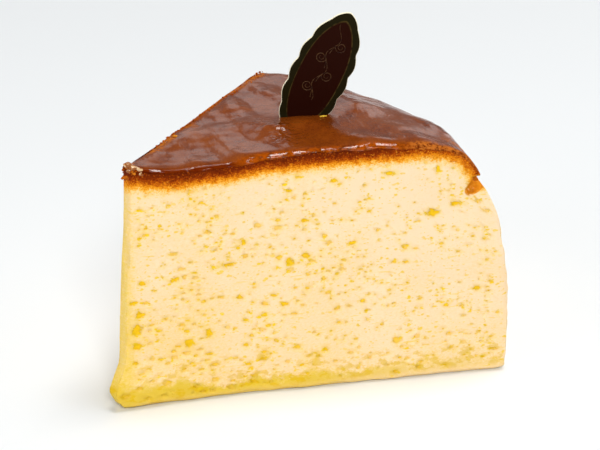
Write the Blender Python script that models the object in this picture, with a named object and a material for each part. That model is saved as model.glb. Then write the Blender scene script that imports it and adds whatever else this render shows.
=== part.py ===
"""A slice of baked souffle cheesecake, with a leaf-shaped foil card standing in its top.

The slice is a wedge of a round cake. It is described by sections through the cake's middle line: how
high the top stands and how far out the wall stands. The near cut face runs along +X from the tip to
the wall and faces -Y, and the far cut face lies the wedge's angle behind it. +Z is up, and the middle
of the slice's box stands on the origin. All values are in metres and radians.
"""

import math
import random

import bmesh
import bpy
from mathutils import Euler, Matrix, Vector, noise

MM = 0.001

# The wedge, measured from the line where the planes of the two cuts would meet
WEDGE_ANGLE = math.radians(56.0)
TIP_PLACE = Vector((-43.59 * MM, -35.96 * MM, 0.0))
TIP_BLUNTNESS = 2.6 * MM

# Height of the top at distances from the tip, along the near cut and along the far cut
NEAR_PROFILE = (
    (0.0 * MM, 59.4 * MM),
    (3.4 * MM, 58.4 * MM),
    (8.0 * MM, 57.3 * MM),
    (14.0 * MM, 57.0 * MM),
    (20.5 * MM, 57.2 * MM),
    (27.0 * MM, 57.7 * MM),
    (34.0 * MM, 58.6 * MM),
    (47.0 * MM, 59.4 * MM),
    (61.0 * MM, 59.0 * MM),
    (68.0 * MM, 58.5 * MM),
    (72.5 * MM, 57.7 * MM),
    (76.0 * MM, 56.6 * MM),
    (79.0 * MM, 54.8 * MM),
    (83.0 * MM, 50.0 * MM),
)
FAR_PROFILE = (
    (0.0 * MM, 59.4 * MM),
    (4.6 * MM, 57.8 * MM),
    (12.0 * MM, 57.0 * MM),
    (32.0 * MM, 56.7 * MM),
    (52.0 * MM, 56.5 * MM),
    (68.0 * MM, 56.3 * MM),
    (75.0 * MM, 56.0 * MM),
    (79.5 * MM, 54.5 * MM),
    (83.0 * MM, 50.0 * MM),
)
FAR_BLEND_START = 0.15
SHOULDER_RADIUS = 83.0 * MM

# Distance of the outer wall at heights from the bottom
WALL_PROFILE = (
    (0.0 * MM, 89.9 * MM),
    (7.0 * MM, 90.5 * MM),
    (20.0 * MM, 89.9 * MM),
    (30.0 * MM, 88.9 * MM),
    (37.0 * MM, 87.6 * MM),
    (42.0 * MM, 85.9 * MM),
    (46.0 * MM, 84.1 * MM),
    (50.0 * MM, 83.0 * MM),
)

# The browned skin curls over the wall, which is tucked in below it, more here than there
TUCK_DEPTH = 0.95 * MM
TUCK_HEIGHT = 48.4 * MM
TUCK_REACH = 1.5 * MM
TUCK_WAVE = (2.6 * MM, 13.0 * MM, 1.5)

# The soft tip leans out towards its foot, which is squashed out most
TIP_LEAN = 3.0 * MM
FOOT_SQUASH = 3.0 * MM
FOOT_HEIGHT = 4.9 * MM
FOOT_SPREAD = 4.2 * MM
TIP_REACH = 16.0 * MM

# Unevenness of the surfaces: depth and width of the waves, and a number that makes each different
WALL_WAVE = (0.5 * MM, 17.0 * MM, 5.0)
CUT_WAVE = (0.35 * MM, 12.0 * MM, 3.0)
TOP_WAVE = (0.55 * MM, 9.0 * MM, 7.0)
BASE_WAVE = (0.7 * MM, 6.5 * MM, 9.0)
BASE_LIFT = 0.2 * MM

# Rounding of the edges
TOP_EDGE = 1.4 * MM
SHOULDER_EDGE = 1.2 * MM
BASE_EDGE = 1.5 * MM
SIDE_EDGE = 0.9 * MM

# Spacing of the mesh lines along the cuts, round the wall and up
PITCH_OUT = 4.2 * MM
PITCH_ROUND = 5.2 * MM
PITCH_UP = 4.0 * MM

# Holes of the crumb that show on a cut, as (from the tip, up, width, height)
NEAR_HOLES = (
    (71.3 * MM, 41.8 * MM, 3.3 * MM, 2.2 * MM),
    (76.7 * MM, 43.6 * MM, 3.1 * MM, 1.1 * MM),
    (82.4 * MM, 22.0 * MM, 1.9 * MM, 1.3 * MM),
    (75.1 * MM, 18.4 * MM, 1.7 * MM, 1.0 * MM),
    (72.2 * MM, 52.5 * MM, 1.1 * MM, 1.7 * MM),
    (61.1 * MM, 52.4 * MM, 2.8 * MM, 1.0 * MM),
    (52.6 * MM, 36.1 * MM, 2.3 * MM, 1.0 * MM),
    (48.3 * MM, 51.6 * MM, 1.8 * MM, 1.2 * MM),
    (41.7 * MM, 42.5 * MM, 2.1 * MM, 1.0 * MM),
    (38.3 * MM, 32.7 * MM, 2.2 * MM, 2.0 * MM),
    (38.1 * MM, 50.0 * MM, 1.8 * MM, 0.9 * MM),
    (37.1 * MM, 22.4 * MM, 2.1 * MM, 1.1 * MM),
    (27.8 * MM, 38.4 * MM, 1.4 * MM, 1.4 * MM),
    (24.4 * MM, 33.3 * MM, 3.6 * MM, 0.9 * MM),
    (20.0 * MM, 17.0 * MM, 1.6 * MM, 2.6 * MM),
    (15.9 * MM, 14.9 * MM, 2.2 * MM, 2.4 * MM),
    (12.8 * MM, 30.9 * MM, 2.2 * MM, 1.2 * MM),
    (6.1 * MM, 30.8 * MM, 1.8 * MM, 1.2 * MM),
    (4.4 * MM, 26.2 * MM, 2.0 * MM, 1.0 * MM),
    (5.8 * MM, 23.2 * MM, 2.2 * MM, 1.9 * MM),
    (5.1 * MM, 19.5 * MM, 2.7 * MM, 3.2 * MM),
    (5.4 * MM, 15.5 * MM, 2.0 * MM, 1.8 * MM),
)
HOLES_ON_A_CUT = 36
HOLE_WIDTHS = (1.1 * MM, 2.3 * MM)
HOLE_FLATNESS = (0.5, 0.8)
HOLE_DEPTH = 0.7
HOLE_CLEARANCE = 1.0 * MM
HOLE_EDGE_CLEARANCE = 4.5 * MM
HOLE_SEED = 11
HOLE_ROUND_STEPS = 8
HOLE_UP_STEPS = 5

# Where the corner of the near cut and the wall is torn, as eggs cut out of it: each has its distance
# from the tip, its height, half its length, depth and height, and its turns about X, Y and Z in degrees.
# The first is the nick under the lip of the browned skin, which runs down and back along the wall, and
# the second is the torn crumb below it
TEARS = (
    (82.6 * MM, 49.4 * MM, (1.6 * MM, 6.0 * MM, 0.8 * MM), (-24.0, 0.0, -17.0)),
    (81.2 * MM, 47.6 * MM, (2.6 * MM, 2.3 * MM, 1.4 * MM), (0.0, -38.0, 0.0)),
)

# The card: a leaf shape with scalloped sides, pushed into the top
CARD_LENGTH = 33.0 * MM
CARD_HALF_WIDTH = 6.3 * MM
CARD_THICKNESS = 0.6 * MM
CARD_FULLNESS = 2.4
CARD_POINT = 0.66
CARD_SCALLOP_DEPTH = 0.62 * MM
CARD_SCALLOP_PITCH = 5.7 * MM
CARD_SCALLOP_START = 1.6 * MM
CARD_STEPS = 48
CARD_FOOT = Vector((45.5 * MM, 24.1 * MM, 58.7 * MM))
CARD_BURIED = 6.0 * MM
CARD_TURN = math.radians(-8.0)
CARD_LEAN = math.radians(25.5)
SLOT_GAP = 0.3 * MM

CRUMB_COLOUR = (0.97, 0.77, 0.44, 1.0)
CARD_COLOUR = (0.055, 0.022, 0.008, 1.0)


def clear_scene():
    for old in list(bpy.data.objects):
        bpy.data.objects.remove(old, do_unlink=True)


def material(name, colour, roughness, metallic=0.0):
    made = bpy.data.materials.new(name)
    made.use_nodes = True
    shader = made.node_tree.nodes["Principled BSDF"]
    shader.inputs["Base Color"].default_value = colour
    shader.inputs["Roughness"].default_value = roughness
    shader.inputs["Metallic"].default_value = metallic
    return made


def smooth_step(low, high, value):
    share = min(max((value - low) / (high - low), 0.0), 1.0)
    return share * share * (3.0 - 2.0 * share)


def curve_at(points, where):
    """The value at where of a smooth curve through (place, value) points, held level past its ends."""
    if where <= points[0][0]:
        return points[0][1]
    if where >= points[-1][0]:
        return points[-1][1]
    last = len(points) - 1
    at = next(n for n in range(last) if where < points[n + 1][0])

    def slope(n):
        before, after = points[max(n - 1, 0)], points[min(n + 1, last)]
        return (after[1] - before[1]) / (after[0] - before[0])

    (start, low), (end, high) = points[at], points[at + 1]
    width = end - start
    t = (where - start) / width
    return (
        (2 * t**3 - 3 * t**2 + 1) * low
        + (t**3 - 2 * t**2 + t) * width * slope(at)
        + (3 * t**2 - 2 * t**3) * high
        + (t**3 - t**2) * width * slope(at + 1)
    )


def wave(place, kind):
    """A smooth unevenness, from the depth, width and seed in kind."""
    depth, width, seed = kind
    return depth * noise.noise(place / width + Vector((seed, 2.0 * seed, -seed)))


def stops(length, pitch, first_edge, last_edge):
    """Shares of a length with lines at the rounded edges, and lines a pitch apart between them."""
    inner_start, inner_end = first_edge / length, 1.0 - last_edge / length
    count = max(2, round((inner_end - inner_start) * length / pitch))
    inner = [inner_start + (inner_end - inner_start) * n / count for n in range(count + 1)]
    return [0.0, inner_start / 2, *inner, (1.0 + inner_end) / 2, 1.0]


def top_height(out, turn):
    """Height of the top at a distance from the tip and a share of the wedge's angle."""
    far = smooth_step(FAR_BLEND_START, 1.0, turn)
    return (1.0 - far) * curve_at(NEAR_PROFILE, out) + far * curve_at(FAR_PROFILE, out)


def wall_radius(height, turn):
    """Distance of the wall at a height and a share of the wedge's angle."""
    round_wall = Vector((turn * SHOULDER_RADIUS * WEDGE_ANGLE, 0.0, 0.0))
    share = math.exp(-(((height - TUCK_HEIGHT) / TUCK_REACH) ** 2))
    tuck = share * max(0.0, TUCK_DEPTH + wave(round_wall, TUCK_WAVE))
    return curve_at(WALL_PROFILE, height) - tuck


def tip_push(height):
    """How far the tip is pushed out at a height."""
    top = NEAR_PROFILE[0][1]
    foot = math.exp(-(((height - FOOT_HEIGHT) / FOOT_SPREAD) ** 2))
    return TIP_LEAN * smooth_step(top, 8.0 * MM, height) + FOOT_SQUASH * foot


def rounding(distance, radius):
    """Inward from the face, and inward from its neighbour, for a point near their shared edge."""
    if distance >= radius:
        return 0.0, 0.0
    angle = math.pi / 4 * (1.0 - distance / radius)
    return radius * (1.0 - math.cos(angle)), radius * (1.0 - math.sin(angle)) - distance


def slice_point(out_share, turn, up_share):
    """A point of the slice's surface, from the three shares, of which one or more is 0 or 1."""
    nominal = TIP_BLUNTNESS + out_share * (SHOULDER_RADIUS - TIP_BLUNTNESS)
    top = top_height(nominal, turn)
    height = up_share * top
    wall = wall_radius(height, turn)
    out = TIP_BLUNTNESS + out_share * (wall - TIP_BLUNTNESS)
    angle = turn * WEDGE_ANGLE
    ray = Vector((math.cos(angle), math.sin(angle), 0.0))
    place = ray * out + Vector((0.0, 0.0, height))

    inward = {
        "near": Vector((0.0, 1.0, 0.0)),
        "far": Vector((math.sin(WEDGE_ANGLE), -math.cos(WEDGE_ANGLE), 0.0)),
        "tip": ray,
        "wall": -ray,
        "base": Vector((0.0, 0.0, 1.0)),
        "top": Vector((0.0, 0.0, -1.0)),
    }
    distance = {
        "near": out * angle,
        "far": out * (WEDGE_ANGLE - angle),
        "tip": out - TIP_BLUNTNESS,
        "wall": wall - out,
        "base": height,
        "top": top - height,
    }
    shares = {
        "near": turn,
        "far": 1.0 - turn,
        "tip": out_share,
        "wall": 1.0 - out_share,
        "base": up_share,
        "top": 1.0 - up_share,
    }
    on = [face for face, share in shares.items() if share <= 0.0]
    moved = Vector()
    rounded = set()
    for face in on:
        for other in inward:
            pair = frozenset((face, other))
            if other == face or pair in rounded or pair in OPPOSITE:
                continue
            rounded.add(pair)
            inner, along = rounding(distance[other], edge_radius(pair))
            moved += inward[face] * inner + inward[other] * along

    bisector = Vector((math.cos(WEDGE_ANGLE / 2), math.sin(WEDGE_ANGLE / 2), 0.0))
    near_tip = math.exp(-((out / TIP_REACH) ** 2))
    moved -= bisector * tip_push(height) * near_tip
    if "near" in on or "far" in on:
        moved += inward[on[0]] * wave(place, CUT_WAVE)
    if "wall" in on:
        moved -= ray * wave(place, WALL_WAVE)
    if "top" in on:
        moved.z += wave(place, TOP_WAVE)
    side = min(distance[face] for face in ("near", "far", "tip", "wall"))
    edge = max(0.0, 1.0 - side / BASE_EDGE) * max(0.0, 1.0 - height / BASE_EDGE)
    moved.z += edge * max(0.0, BASE_LIFT + wave(place, BASE_WAVE))
    return TIP_PLACE + place + moved


OPPOSITE = {frozenset(("near", "far")), frozenset(("tip", "wall")), frozenset(("base", "top"))}


def edge_radius(pair):
    """The rounding of the edge between two faces."""
    if "base" in pair:
        return BASE_EDGE
    if "top" in pair:
        return SHOULDER_EDGE if "wall" in pair else TOP_EDGE
    return SIDE_EDGE


def slice_mesh():
    """The slice as one closed mesh: the outer skin of a grid of shares along, round and up."""
    middle = SHOULDER_RADIUS * WEDGE_ANGLE
    along = stops(SHOULDER_RADIUS, PITCH_OUT, SIDE_EDGE, SHOULDER_EDGE)
    around = stops(middle, PITCH_ROUND, SIDE_EDGE, SIDE_EDGE)
    upward = stops(NEAR_PROFILE[0][1], PITCH_UP, BASE_EDGE, TOP_EDGE)
    counts = (len(along), len(around), len(upward))
    made = bmesh.new()
    corners = {}

    def corner(*index):
        if index not in corners:
            i, j, k = index
            corners[index] = made.verts.new(slice_point(along[i], around[j], upward[k]))
        return corners[index]

    for axis in range(3):
        first, second = [n for n in range(3) if n != axis]
        for end in (0, counts[axis] - 1):
            for a in range(counts[first] - 1):
                for b in range(counts[second] - 1):
                    ring = []
                    for da, db in ((0, 0), (1, 0), (1, 1), (0, 1)):
                        index = [0, 0, 0]
                        index[axis], index[first], index[second] = end, a + da, b + db
                        ring.append(corner(*index))
                    made.faces.new(ring)
    bmesh.ops.recalc_face_normals(made, faces=made.faces)
    flat = [e for e in made.edges if all(v.co.z < 1e-7 for v in e.verts)]
    flat_verts = [v for v in made.verts if v.co.z < 1e-7]
    bmesh.ops.dissolve_limit(made, angle_limit=1e-4, verts=flat_verts, edges=flat)
    mesh = bpy.data.meshes.new("cheesecake")
    made.to_mesh(mesh)
    made.free()
    return mesh


def cut_matrix(far, out, height):
    """Places a hole on a cut: its local X runs out along the cut and Z up."""
    turn = 1.0 if far else 0.0
    out_share = (out - TIP_BLUNTNESS) / (wall_radius(height, turn) - TIP_BLUNTNESS)
    nominal = TIP_BLUNTNESS + out_share * (SHOULDER_RADIUS - TIP_BLUNTNESS)
    place = slice_point(out_share, turn, height / top_height(nominal, turn))
    return Matrix.Translation(place) @ Matrix.Rotation(turn * WEDGE_ANGLE, 4, "Z")


def random_holes(seed, taken):
    """Holes of uneven size spread over a cut, clear of its edges and of each other."""
    draw = random.Random(seed)
    found = list(taken)
    while len(found) < HOLES_ON_A_CUT:
        width = draw.uniform(*HOLE_WIDTHS)
        out = draw.uniform(8.0 * MM, SHOULDER_RADIUS - HOLE_EDGE_CLEARANCE)
        top = top_height(out, 0.0)
        height = draw.uniform(HOLE_EDGE_CLEARANCE, top - HOLE_EDGE_CLEARANCE)
        clear = all(
            math.hypot(out - a, height - b) > (width + w) / 2 + HOLE_CLEARANCE
            for a, b, w, _ in found
        )
        if clear:
            found.append((out, height, width, width * draw.uniform(*HOLE_FLATNESS)))
    return found


def add_ball(mesh, matrix, size):
    """Adds an egg-shaped ball of the given width, depth and height to the mesh."""
    bmesh.ops.create_uvsphere(
        mesh,
        u_segments=HOLE_ROUND_STEPS,
        v_segments=HOLE_UP_STEPS,
        radius=0.5,
        matrix=matrix @ Matrix.Diagonal((*size, 1.0)),
    )


def cutter_object(name, mesh):
    """An object that only cuts others, which the build leaves out."""
    data = bpy.data.meshes.new(name)
    mesh.to_mesh(data)
    mesh.free()
    cutter = bpy.data.objects.new(name, data)
    bpy.context.scene.collection.objects.link(cutter)
    cutter.hide_render = True
    cutter.display_type = "WIRE"
    return cutter


def hole_cutter():
    """The holes of both cuts, which are clear of each other."""
    made = bmesh.new()
    cuts = ((False, random_holes(HOLE_SEED, NEAR_HOLES)), (True, random_holes(HOLE_SEED + 1, ())))
    for far, holes in cuts:
        for out, height, width, tall in holes:
            size = (width, 2 * HOLE_DEPTH * width, tall)
            add_ball(made, cut_matrix(far, out, height), size)
    return cutter_object("crumb_holes", made)


def tear_cutter(out, height, halves, turns):
    """One egg of the torn corner. They overlap, so each cuts by itself."""
    made = bmesh.new()
    turned = Euler([math.radians(turn) for turn in turns]).to_matrix().to_4x4()
    tear = cut_matrix(False, out, height) @ turned
    add_ball(made, tear, [2 * half for half in halves])
    return cutter_object("corner_tear", made)


def card_half_width(share, spread):
    """Half the card's width at a share from -1 to 1 of its half length."""
    leaf = max(0.0, 1.0 - abs(share) ** CARD_FULLNESS) ** CARD_POINT
    from_foot = (share + 1.0) * CARD_LENGTH / 2 - CARD_SCALLOP_START
    scallop = abs(math.sin(math.pi * from_foot / CARD_SCALLOP_PITCH))
    return leaf * (CARD_HALF_WIDTH + CARD_SCALLOP_DEPTH * scallop) + spread


def card_mesh(spread):
    """The card as a flat leaf in its own X and Z, thickened along Y and grown by spread."""
    made = bmesh.new()
    half_length = CARD_LENGTH / 2
    angles = [math.pi * n / CARD_STEPS for n in range(CARD_STEPS + 1)]
    right = []
    for angle in angles:
        share = -math.cos(angle)
        right.append((card_half_width(share, spread), share * (half_length + spread)))
    left = [(-x, z) for x, z in reversed(right)]
    if spread <= 0.0:
        left = left[1:-1]
    front = [made.verts.new((x, -CARD_THICKNESS / 2 - spread, z)) for x, z in right + left]
    face = made.faces.new(front)
    thick = bmesh.ops.extrude_face_region(made, geom=[face])
    back = [v for v in thick["geom"] if isinstance(v, bmesh.types.BMVert)]
    bmesh.ops.translate(made, vec=(0.0, CARD_THICKNESS + 2 * spread, 0.0), verts=back)
    bmesh.ops.recalc_face_normals(made, faces=made.faces)
    return made


def card_matrix():
    """Stands the card in the top, turned to the near cut and leaning to the wall."""
    raise_card = Matrix.Translation((0.0, 0.0, CARD_LENGTH / 2 - CARD_BURIED))
    turn = Matrix.Rotation(CARD_TURN, 4, "Z") @ Matrix.Rotation(CARD_LEAN, 4, "Y")
    return Matrix.Translation(TIP_PLACE + CARD_FOOT) @ turn @ raise_card


def build_card():
    made = card_mesh(0.0)
    data = bpy.data.meshes.new("card")
    made.to_mesh(data)
    made.free()
    card = bpy.data.objects.new("card", data)
    card.matrix_world = card_matrix()
    card.data.materials.append(material("foil_card", CARD_COLOUR, 0.4, 0.2))
    bpy.context.scene.collection.objects.link(card)
    return card


def build_slice():
    cake = bpy.data.objects.new("cheesecake", slice_mesh())
    cake.data.materials.append(material("baked_crumb", CRUMB_COLOUR, 0.6))
    bpy.context.scene.collection.objects.link(cake)
    slot = cutter_object("card_slot", card_mesh(SLOT_GAP))
    slot.matrix_world = card_matrix()
    for cutter in (hole_cutter(), *(tear_cutter(*tear) for tear in TEARS), slot):
        cut = cake.modifiers.new(cutter.name, "BOOLEAN")
        cut.object = cutter
        cut.operation = "DIFFERENCE"
        cut.solver = "EXACT"
    cake.data.shade_smooth()
    cake.data.set_sharp_from_angle(angle=math.radians(40.0))
    return cake


def main():
    clear_scene()
    build_slice()
    build_card()


main()
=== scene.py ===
"""The looks of a slice of baked cheesecake with a leaf-shaped foil card in its top.

The crumb is built from the same sections as the solid that it replaces, with finer lines and with the open
bubbles of both cuts let into it. Its browned top lies under a glossy glaze that rolls over the edges, and
the card gets its rim, its panel and a vine. Sizes are in metres and angles in radians, except where a
docstring gives millimetres or degrees.
"""

import logging
import math
import random
from dataclasses import dataclass
from enum import Enum
from itertools import combinations
from typing import Any, Iterable, Optional, Sequence, Union

import bmesh
import bpy
import numpy as np
from mathutils import Euler, Matrix, Vector, noise
from mathutils.bvhtree import BVHTree
from mathutils.geometry import delaunay_2d_cdt


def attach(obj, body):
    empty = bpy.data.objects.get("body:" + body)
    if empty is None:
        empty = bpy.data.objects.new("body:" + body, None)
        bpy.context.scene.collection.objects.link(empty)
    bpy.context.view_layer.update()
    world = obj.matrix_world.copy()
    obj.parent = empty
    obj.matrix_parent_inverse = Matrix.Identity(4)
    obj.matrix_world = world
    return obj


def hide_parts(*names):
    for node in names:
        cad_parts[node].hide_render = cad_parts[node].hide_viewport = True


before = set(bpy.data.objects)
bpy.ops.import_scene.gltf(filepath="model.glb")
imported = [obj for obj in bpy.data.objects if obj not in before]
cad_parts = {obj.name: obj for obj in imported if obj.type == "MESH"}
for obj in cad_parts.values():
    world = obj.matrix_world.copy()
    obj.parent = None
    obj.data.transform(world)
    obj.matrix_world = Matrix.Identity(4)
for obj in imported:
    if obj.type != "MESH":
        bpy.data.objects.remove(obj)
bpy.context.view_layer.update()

MM = 0.001
PER_MM = 1000.0
BODY = "root"

MIDDLE = 0.5
# the numbers of the Mix node's colour inputs and of its colour output
MIX_FIRST = 6
MIX_SECOND = 7
MIX_COLOUR = 2

Colour = tuple[float, float, float]
Pair = tuple[float, float]
Triple = tuple[float, float, float]
Term = Union["Wire", float]
log = logging.getLogger("cheesecake")


class Face(Enum):
    """The six faces of the slice."""

    NEAR = "near cut"
    FAR = "far cut"
    TIP = "tip"
    WALL = "outer wall"
    BASE = "base"
    TOP = "top"


OPPOSITE = ({Face.NEAR, Face.FAR}, {Face.TIP, Face.WALL}, {Face.BASE, Face.TOP})


class Wire:
    """A shader socket that takes part in Python expressions."""

    def __init__(self, bench: "Bench", socket: bpy.types.NodeSocket) -> None:
        """Keeps the socket, and the bench that adds nodes for it."""
        self.bench = bench
        self.socket = socket

    def __add__(self, other: Term) -> "Wire":
        """This value plus another."""
        return self.bench.math("ADD", self, other)

    def __radd__(self, other: Term) -> "Wire":
        """Another value plus this one."""
        return self.bench.math("ADD", other, self)

    def __sub__(self, other: Term) -> "Wire":
        """This value less another."""
        return self.bench.math("SUBTRACT", self, other)

    def __rsub__(self, other: Term) -> "Wire":
        """Another value less this one."""
        return self.bench.math("SUBTRACT", other, self)

    def __mul__(self, other: Term) -> "Wire":
        """This value times another."""
        return self.bench.math("MULTIPLY", self, other)

    def __rmul__(self, other: Term) -> "Wire":
        """Another value times this one."""
        return self.bench.math("MULTIPLY", other, self)

    def above(self, limit: float) -> "Wire":
        """1 where this value is above the limit, else 0."""
        return self.bench.math("GREATER_THAN", self, limit)

    def eased(self, low: Term, high: Term) -> "Wire":
        """Rises smoothly from 0 at low to 1 at high.

        Args:
            low: the value that gives 0.
            high: the value that gives 1.

        Returns:
            The eased value.
        """
        sockets = {"Value": self, "From Min": low, "From Max": high}
        return self.bench.node("ShaderNodeMapRange", {"interpolation_type": "SMOOTHSTEP"}, sockets)


@dataclass(frozen=True)
class Grain:
    """A noise: its waves in each millimetre, its finer layers and how strong those are."""

    per_mm: float
    detail: float = 2.0
    roughness: float = 0.5


@dataclass(frozen=True)
class Slope:
    """An amount that a value reaches as it rises from low to high."""

    low: float
    high: float
    amount: float = 1.0

    def on(self, value: Wire) -> Wire:
        """How much of the amount the value has reached."""
        return value.eased(self.low, self.high) * self.amount


class Bench:
    """One material's nodes, and the ways to add more of them."""

    dot_core = 0.55

    def __init__(self, name: str) -> None:
        """Makes a material with its Principled shader.

        Args:
            name: the material's name.
        """
        self.material = bpy.data.materials.new(name)
        self.material.use_nodes = True
        self.tree = self.material.node_tree
        self.shader = self.tree.nodes["Principled BSDF"]

    def node(
        self,
        kind: str,
        settings: Optional[dict[str, Any]] = None,
        sockets: Optional[dict[Any, Any]] = None,
        output: Any = 0,
    ) -> Wire:
        """Adds one node.

        Args:
            kind: the node's type.
            settings: its properties, with a ramp's stops as a list of (place, colour).
            sockets: values or wires for its inputs, by name or number.
            output: the output to hand on, by name or number.

        Returns:
            The wire from that output.
        """
        made = self.tree.nodes.new(kind)
        for name, value in (settings or {}).items():
            if name == "stops":
                self.set_stops(made.color_ramp, value)
            else:
                setattr(made, name, value)
        for name, value in (sockets or {}).items():
            self.feed(made.inputs[name], value)
        return Wire(self, made.outputs[output])

    def feed(self, socket: bpy.types.NodeSocket, value: Any) -> None:
        """Gives a socket a wire or a plain value.

        Args:
            socket: the socket.
            value: the wire or the value.
        """
        if isinstance(value, Wire):
            self.tree.links.new(value.socket, socket)
        else:
            socket.default_value = value

    def set_stops(self, ramp: bpy.types.ColorRamp, stops: Sequence[tuple[float, Colour]]) -> None:
        """Puts the stops on a ramp, in order.

        Args:
            ramp: the ramp.
            stops: each stop's place and colour.
        """
        while len(ramp.elements) < len(stops):
            ramp.elements.new(1.0)
        for element, (place, colour) in zip(ramp.elements, stops):
            element.position = place
            element.color = (*colour, 1.0)

    def math(self, operation: str, first: Term, second: Term) -> Wire:
        """One Math node on two terms."""
        return self.node("ShaderNodeMath", {"operation": operation}, {0: first, 1: second})

    def mix(self, share: Term, first: Any, second: Any) -> Wire:
        """A colour between two others.

        Args:
            share: 0 for the first colour and 1 for the second.
            first: a wire, or red, green and blue.
            second: the same.

        Returns:
            The mixed colour.
        """
        pair = [c if isinstance(c, Wire) else (*c, 1.0) for c in (first, second)]
        sockets = {0: share, MIX_FIRST: pair[0], MIX_SECOND: pair[1]}
        settings = {"data_type": "RGBA", "clamp_factor": True}
        return self.node("ShaderNodeMix", settings, sockets, MIX_COLOUR)

    def ramp(self, share: Wire, stops: Sequence[tuple[float, Colour]]) -> Wire:
        """A colour from a ramp with these stops."""
        return self.node("ShaderNodeValToRGB", {"stops": stops}, {0: share})

    def place(self, stretch: Triple = (1.0, 1.0, 1.0)) -> Wire:
        """The point on the object in millimetres, stretched along each axis.

        Args:
            stretch: how many times it is stretched along x, y and z.

        Returns:
            The stretched point.
        """
        scale = tuple(PER_MM * share for share in stretch)
        point = self.node("ShaderNodeTexCoord", output="Object")
        return self.node("ShaderNodeVectorMath", {"operation": "MULTIPLY"}, {0: point, 1: scale})

    def part(self, place: Wire, axis: str) -> Wire:
        """The place's X, Y or Z."""
        return self.node("ShaderNodeSeparateXYZ", sockets={0: place}, output=axis)

    def cloud(self, place: Wire, grain: Grain) -> Wire:
        """Soft noise around its middle value, one half.

        Args:
            place: where the noise is read.
            grain: how fine it is.

        Returns:
            The noise's value.
        """
        sockets = {"Vector": place, "Scale": grain.per_mm}
        sockets |= {"Detail": grain.detail, "Roughness": grain.roughness}
        return self.node("ShaderNodeTexNoise", sockets=sockets, output="Fac")

    def warped(self, place: Wire, per_mm: float, amount: float) -> Wire:
        """A place that noise pushes about.

        Args:
            place: the place.
            per_mm: the noise's waves in each unit of place.
            amount: how far it is pushed.

        Returns:
            The pushed place.
        """
        push = self.node("ShaderNodeTexNoise", sockets={"Vector": place, "Scale": per_mm}, output="Color")
        sockets = {0: push, 1: (amount, amount, amount), 2: place}
        return self.node("ShaderNodeVectorMath", {"operation": "MULTIPLY_ADD"}, sockets)

    def dots(self, place: Wire, per_mm: float, radius: float, share: float) -> Wire:
        """Soft dots in some of the cells of a random pattern.

        Args:
            place: where the pattern is read.
            per_mm: its cells in each unit of place.
            radius: a dot's size against its cell.
            share: how many of the cells hold one, from 0 to 1.

        Returns:
            1 in the dots and 0 between them.
        """
        sockets = {"Vector": place, "Scale": per_mm}
        away = self.node("ShaderNodeTexVoronoi", sockets=sockets, output="Distance")
        cell = self.node("ShaderNodeTexVoronoi", sockets=sockets, output="Color")
        drawn = self.node("ShaderNodeSeparateColor", sockets={0: cell}, output="Red")
        return (1.0 - away.eased(self.dot_core * radius, radius)) * drawn.above(1.0 - share)

    def field(self, name: str) -> Wire:
        """A value that the mesh holds for each of its points."""
        return self.node("ShaderNodeAttribute", {"attribute_name": name}, output="Fac")

    def bump(self, height: Wire, strength: float, distance: float) -> None:
        """Roughens the surface by a height, through the shader's Normal."""
        sockets = {"Height": height, "Strength": strength, "Distance": distance}
        self.finish(Normal=self.node("ShaderNodeBump", sockets=sockets))

    def finish(self, **sockets: Any) -> None:
        """Feeds the shader's sockets, named with _ for each space."""
        for name, value in sockets.items():
            self.feed(self.shader.inputs[name.replace("_", " ")], value)

    def blend(self, share: Wire, **sockets: Any) -> None:
        """Blends a second shader over the first, which it shares its Normal with.

        Args:
            share: how much of the second shows.
            sockets: the second's values or wires, named with _ for each space.
        """
        values = {name.replace("_", " "): value for name, value in sockets.items()}
        normal = self.shader.inputs["Normal"]
        if normal.is_linked:
            values["Normal"] = Wire(self, normal.links[0].from_socket)
        first = Wire(self, self.shader.outputs["BSDF"])
        second = self.node("ShaderNodeBsdfPrincipled", sockets=values)
        held = self.math("MINIMUM", share, 1.0)
        both = self.node("ShaderNodeMixShader", sockets={0: held, 1: first, 2: second})
        self.feed(self.tree.nodes["Material Output"].inputs["Surface"], both)


@dataclass(frozen=True)
class Curve:
    """A smooth curve through points of place and value in millimetres, held level past its ends."""

    points: tuple[Pair, ...]

    def at(self, where: np.ndarray) -> np.ndarray:
        """The curve's values.

        Args:
            where: places along it, in metres.

        Returns:
            The values there, in metres.
        """
        places, values = np.array(self.points).T * MM
        where = np.clip(where, places[0], places[-1])
        slopes = np.gradient(values)
        slopes[1:-1] = (values[2:] - values[:-2]) / (places[2:] - places[:-2])
        slopes[0] = (values[1] - values[0]) / (places[1] - places[0])
        slopes[-1] = (values[-1] - values[-2]) / (places[-1] - places[-2])
        n = np.clip(np.searchsorted(places, where, side="right") - 1, 0, len(places) - 2)
        width = places[n + 1] - places[n]
        t = (where - places[n]) / width
        return (
            (2 * t**3 - 3 * t**2 + 1) * values[n]
            + (t**3 - 2 * t**2 + t) * width * slopes[n]
            + (3 * t**2 - 2 * t**3) * values[n + 1]
            + (t**3 - t**2) * width * slopes[n + 1]
        )


@dataclass(frozen=True)
class Wave:
    """A smooth unevenness."""

    depth: float
    width: float
    seed: float

    def at(self, places: np.ndarray) -> np.ndarray:
        """Its height at each of the places."""
        shift = Vector((self.seed, 2.0 * self.seed, -self.seed))
        return self.depth * np.array([noise.noise(Vector(p) / self.width + shift) for p in places])


def eased(low: float, high: float, value: np.ndarray) -> np.ndarray:
    """Rises smoothly from 0 at low to 1 at high."""
    share = np.clip((value - low) / (high - low), 0.0, 1.0)
    return share * share * (3.0 - 2.0 * share)


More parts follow.
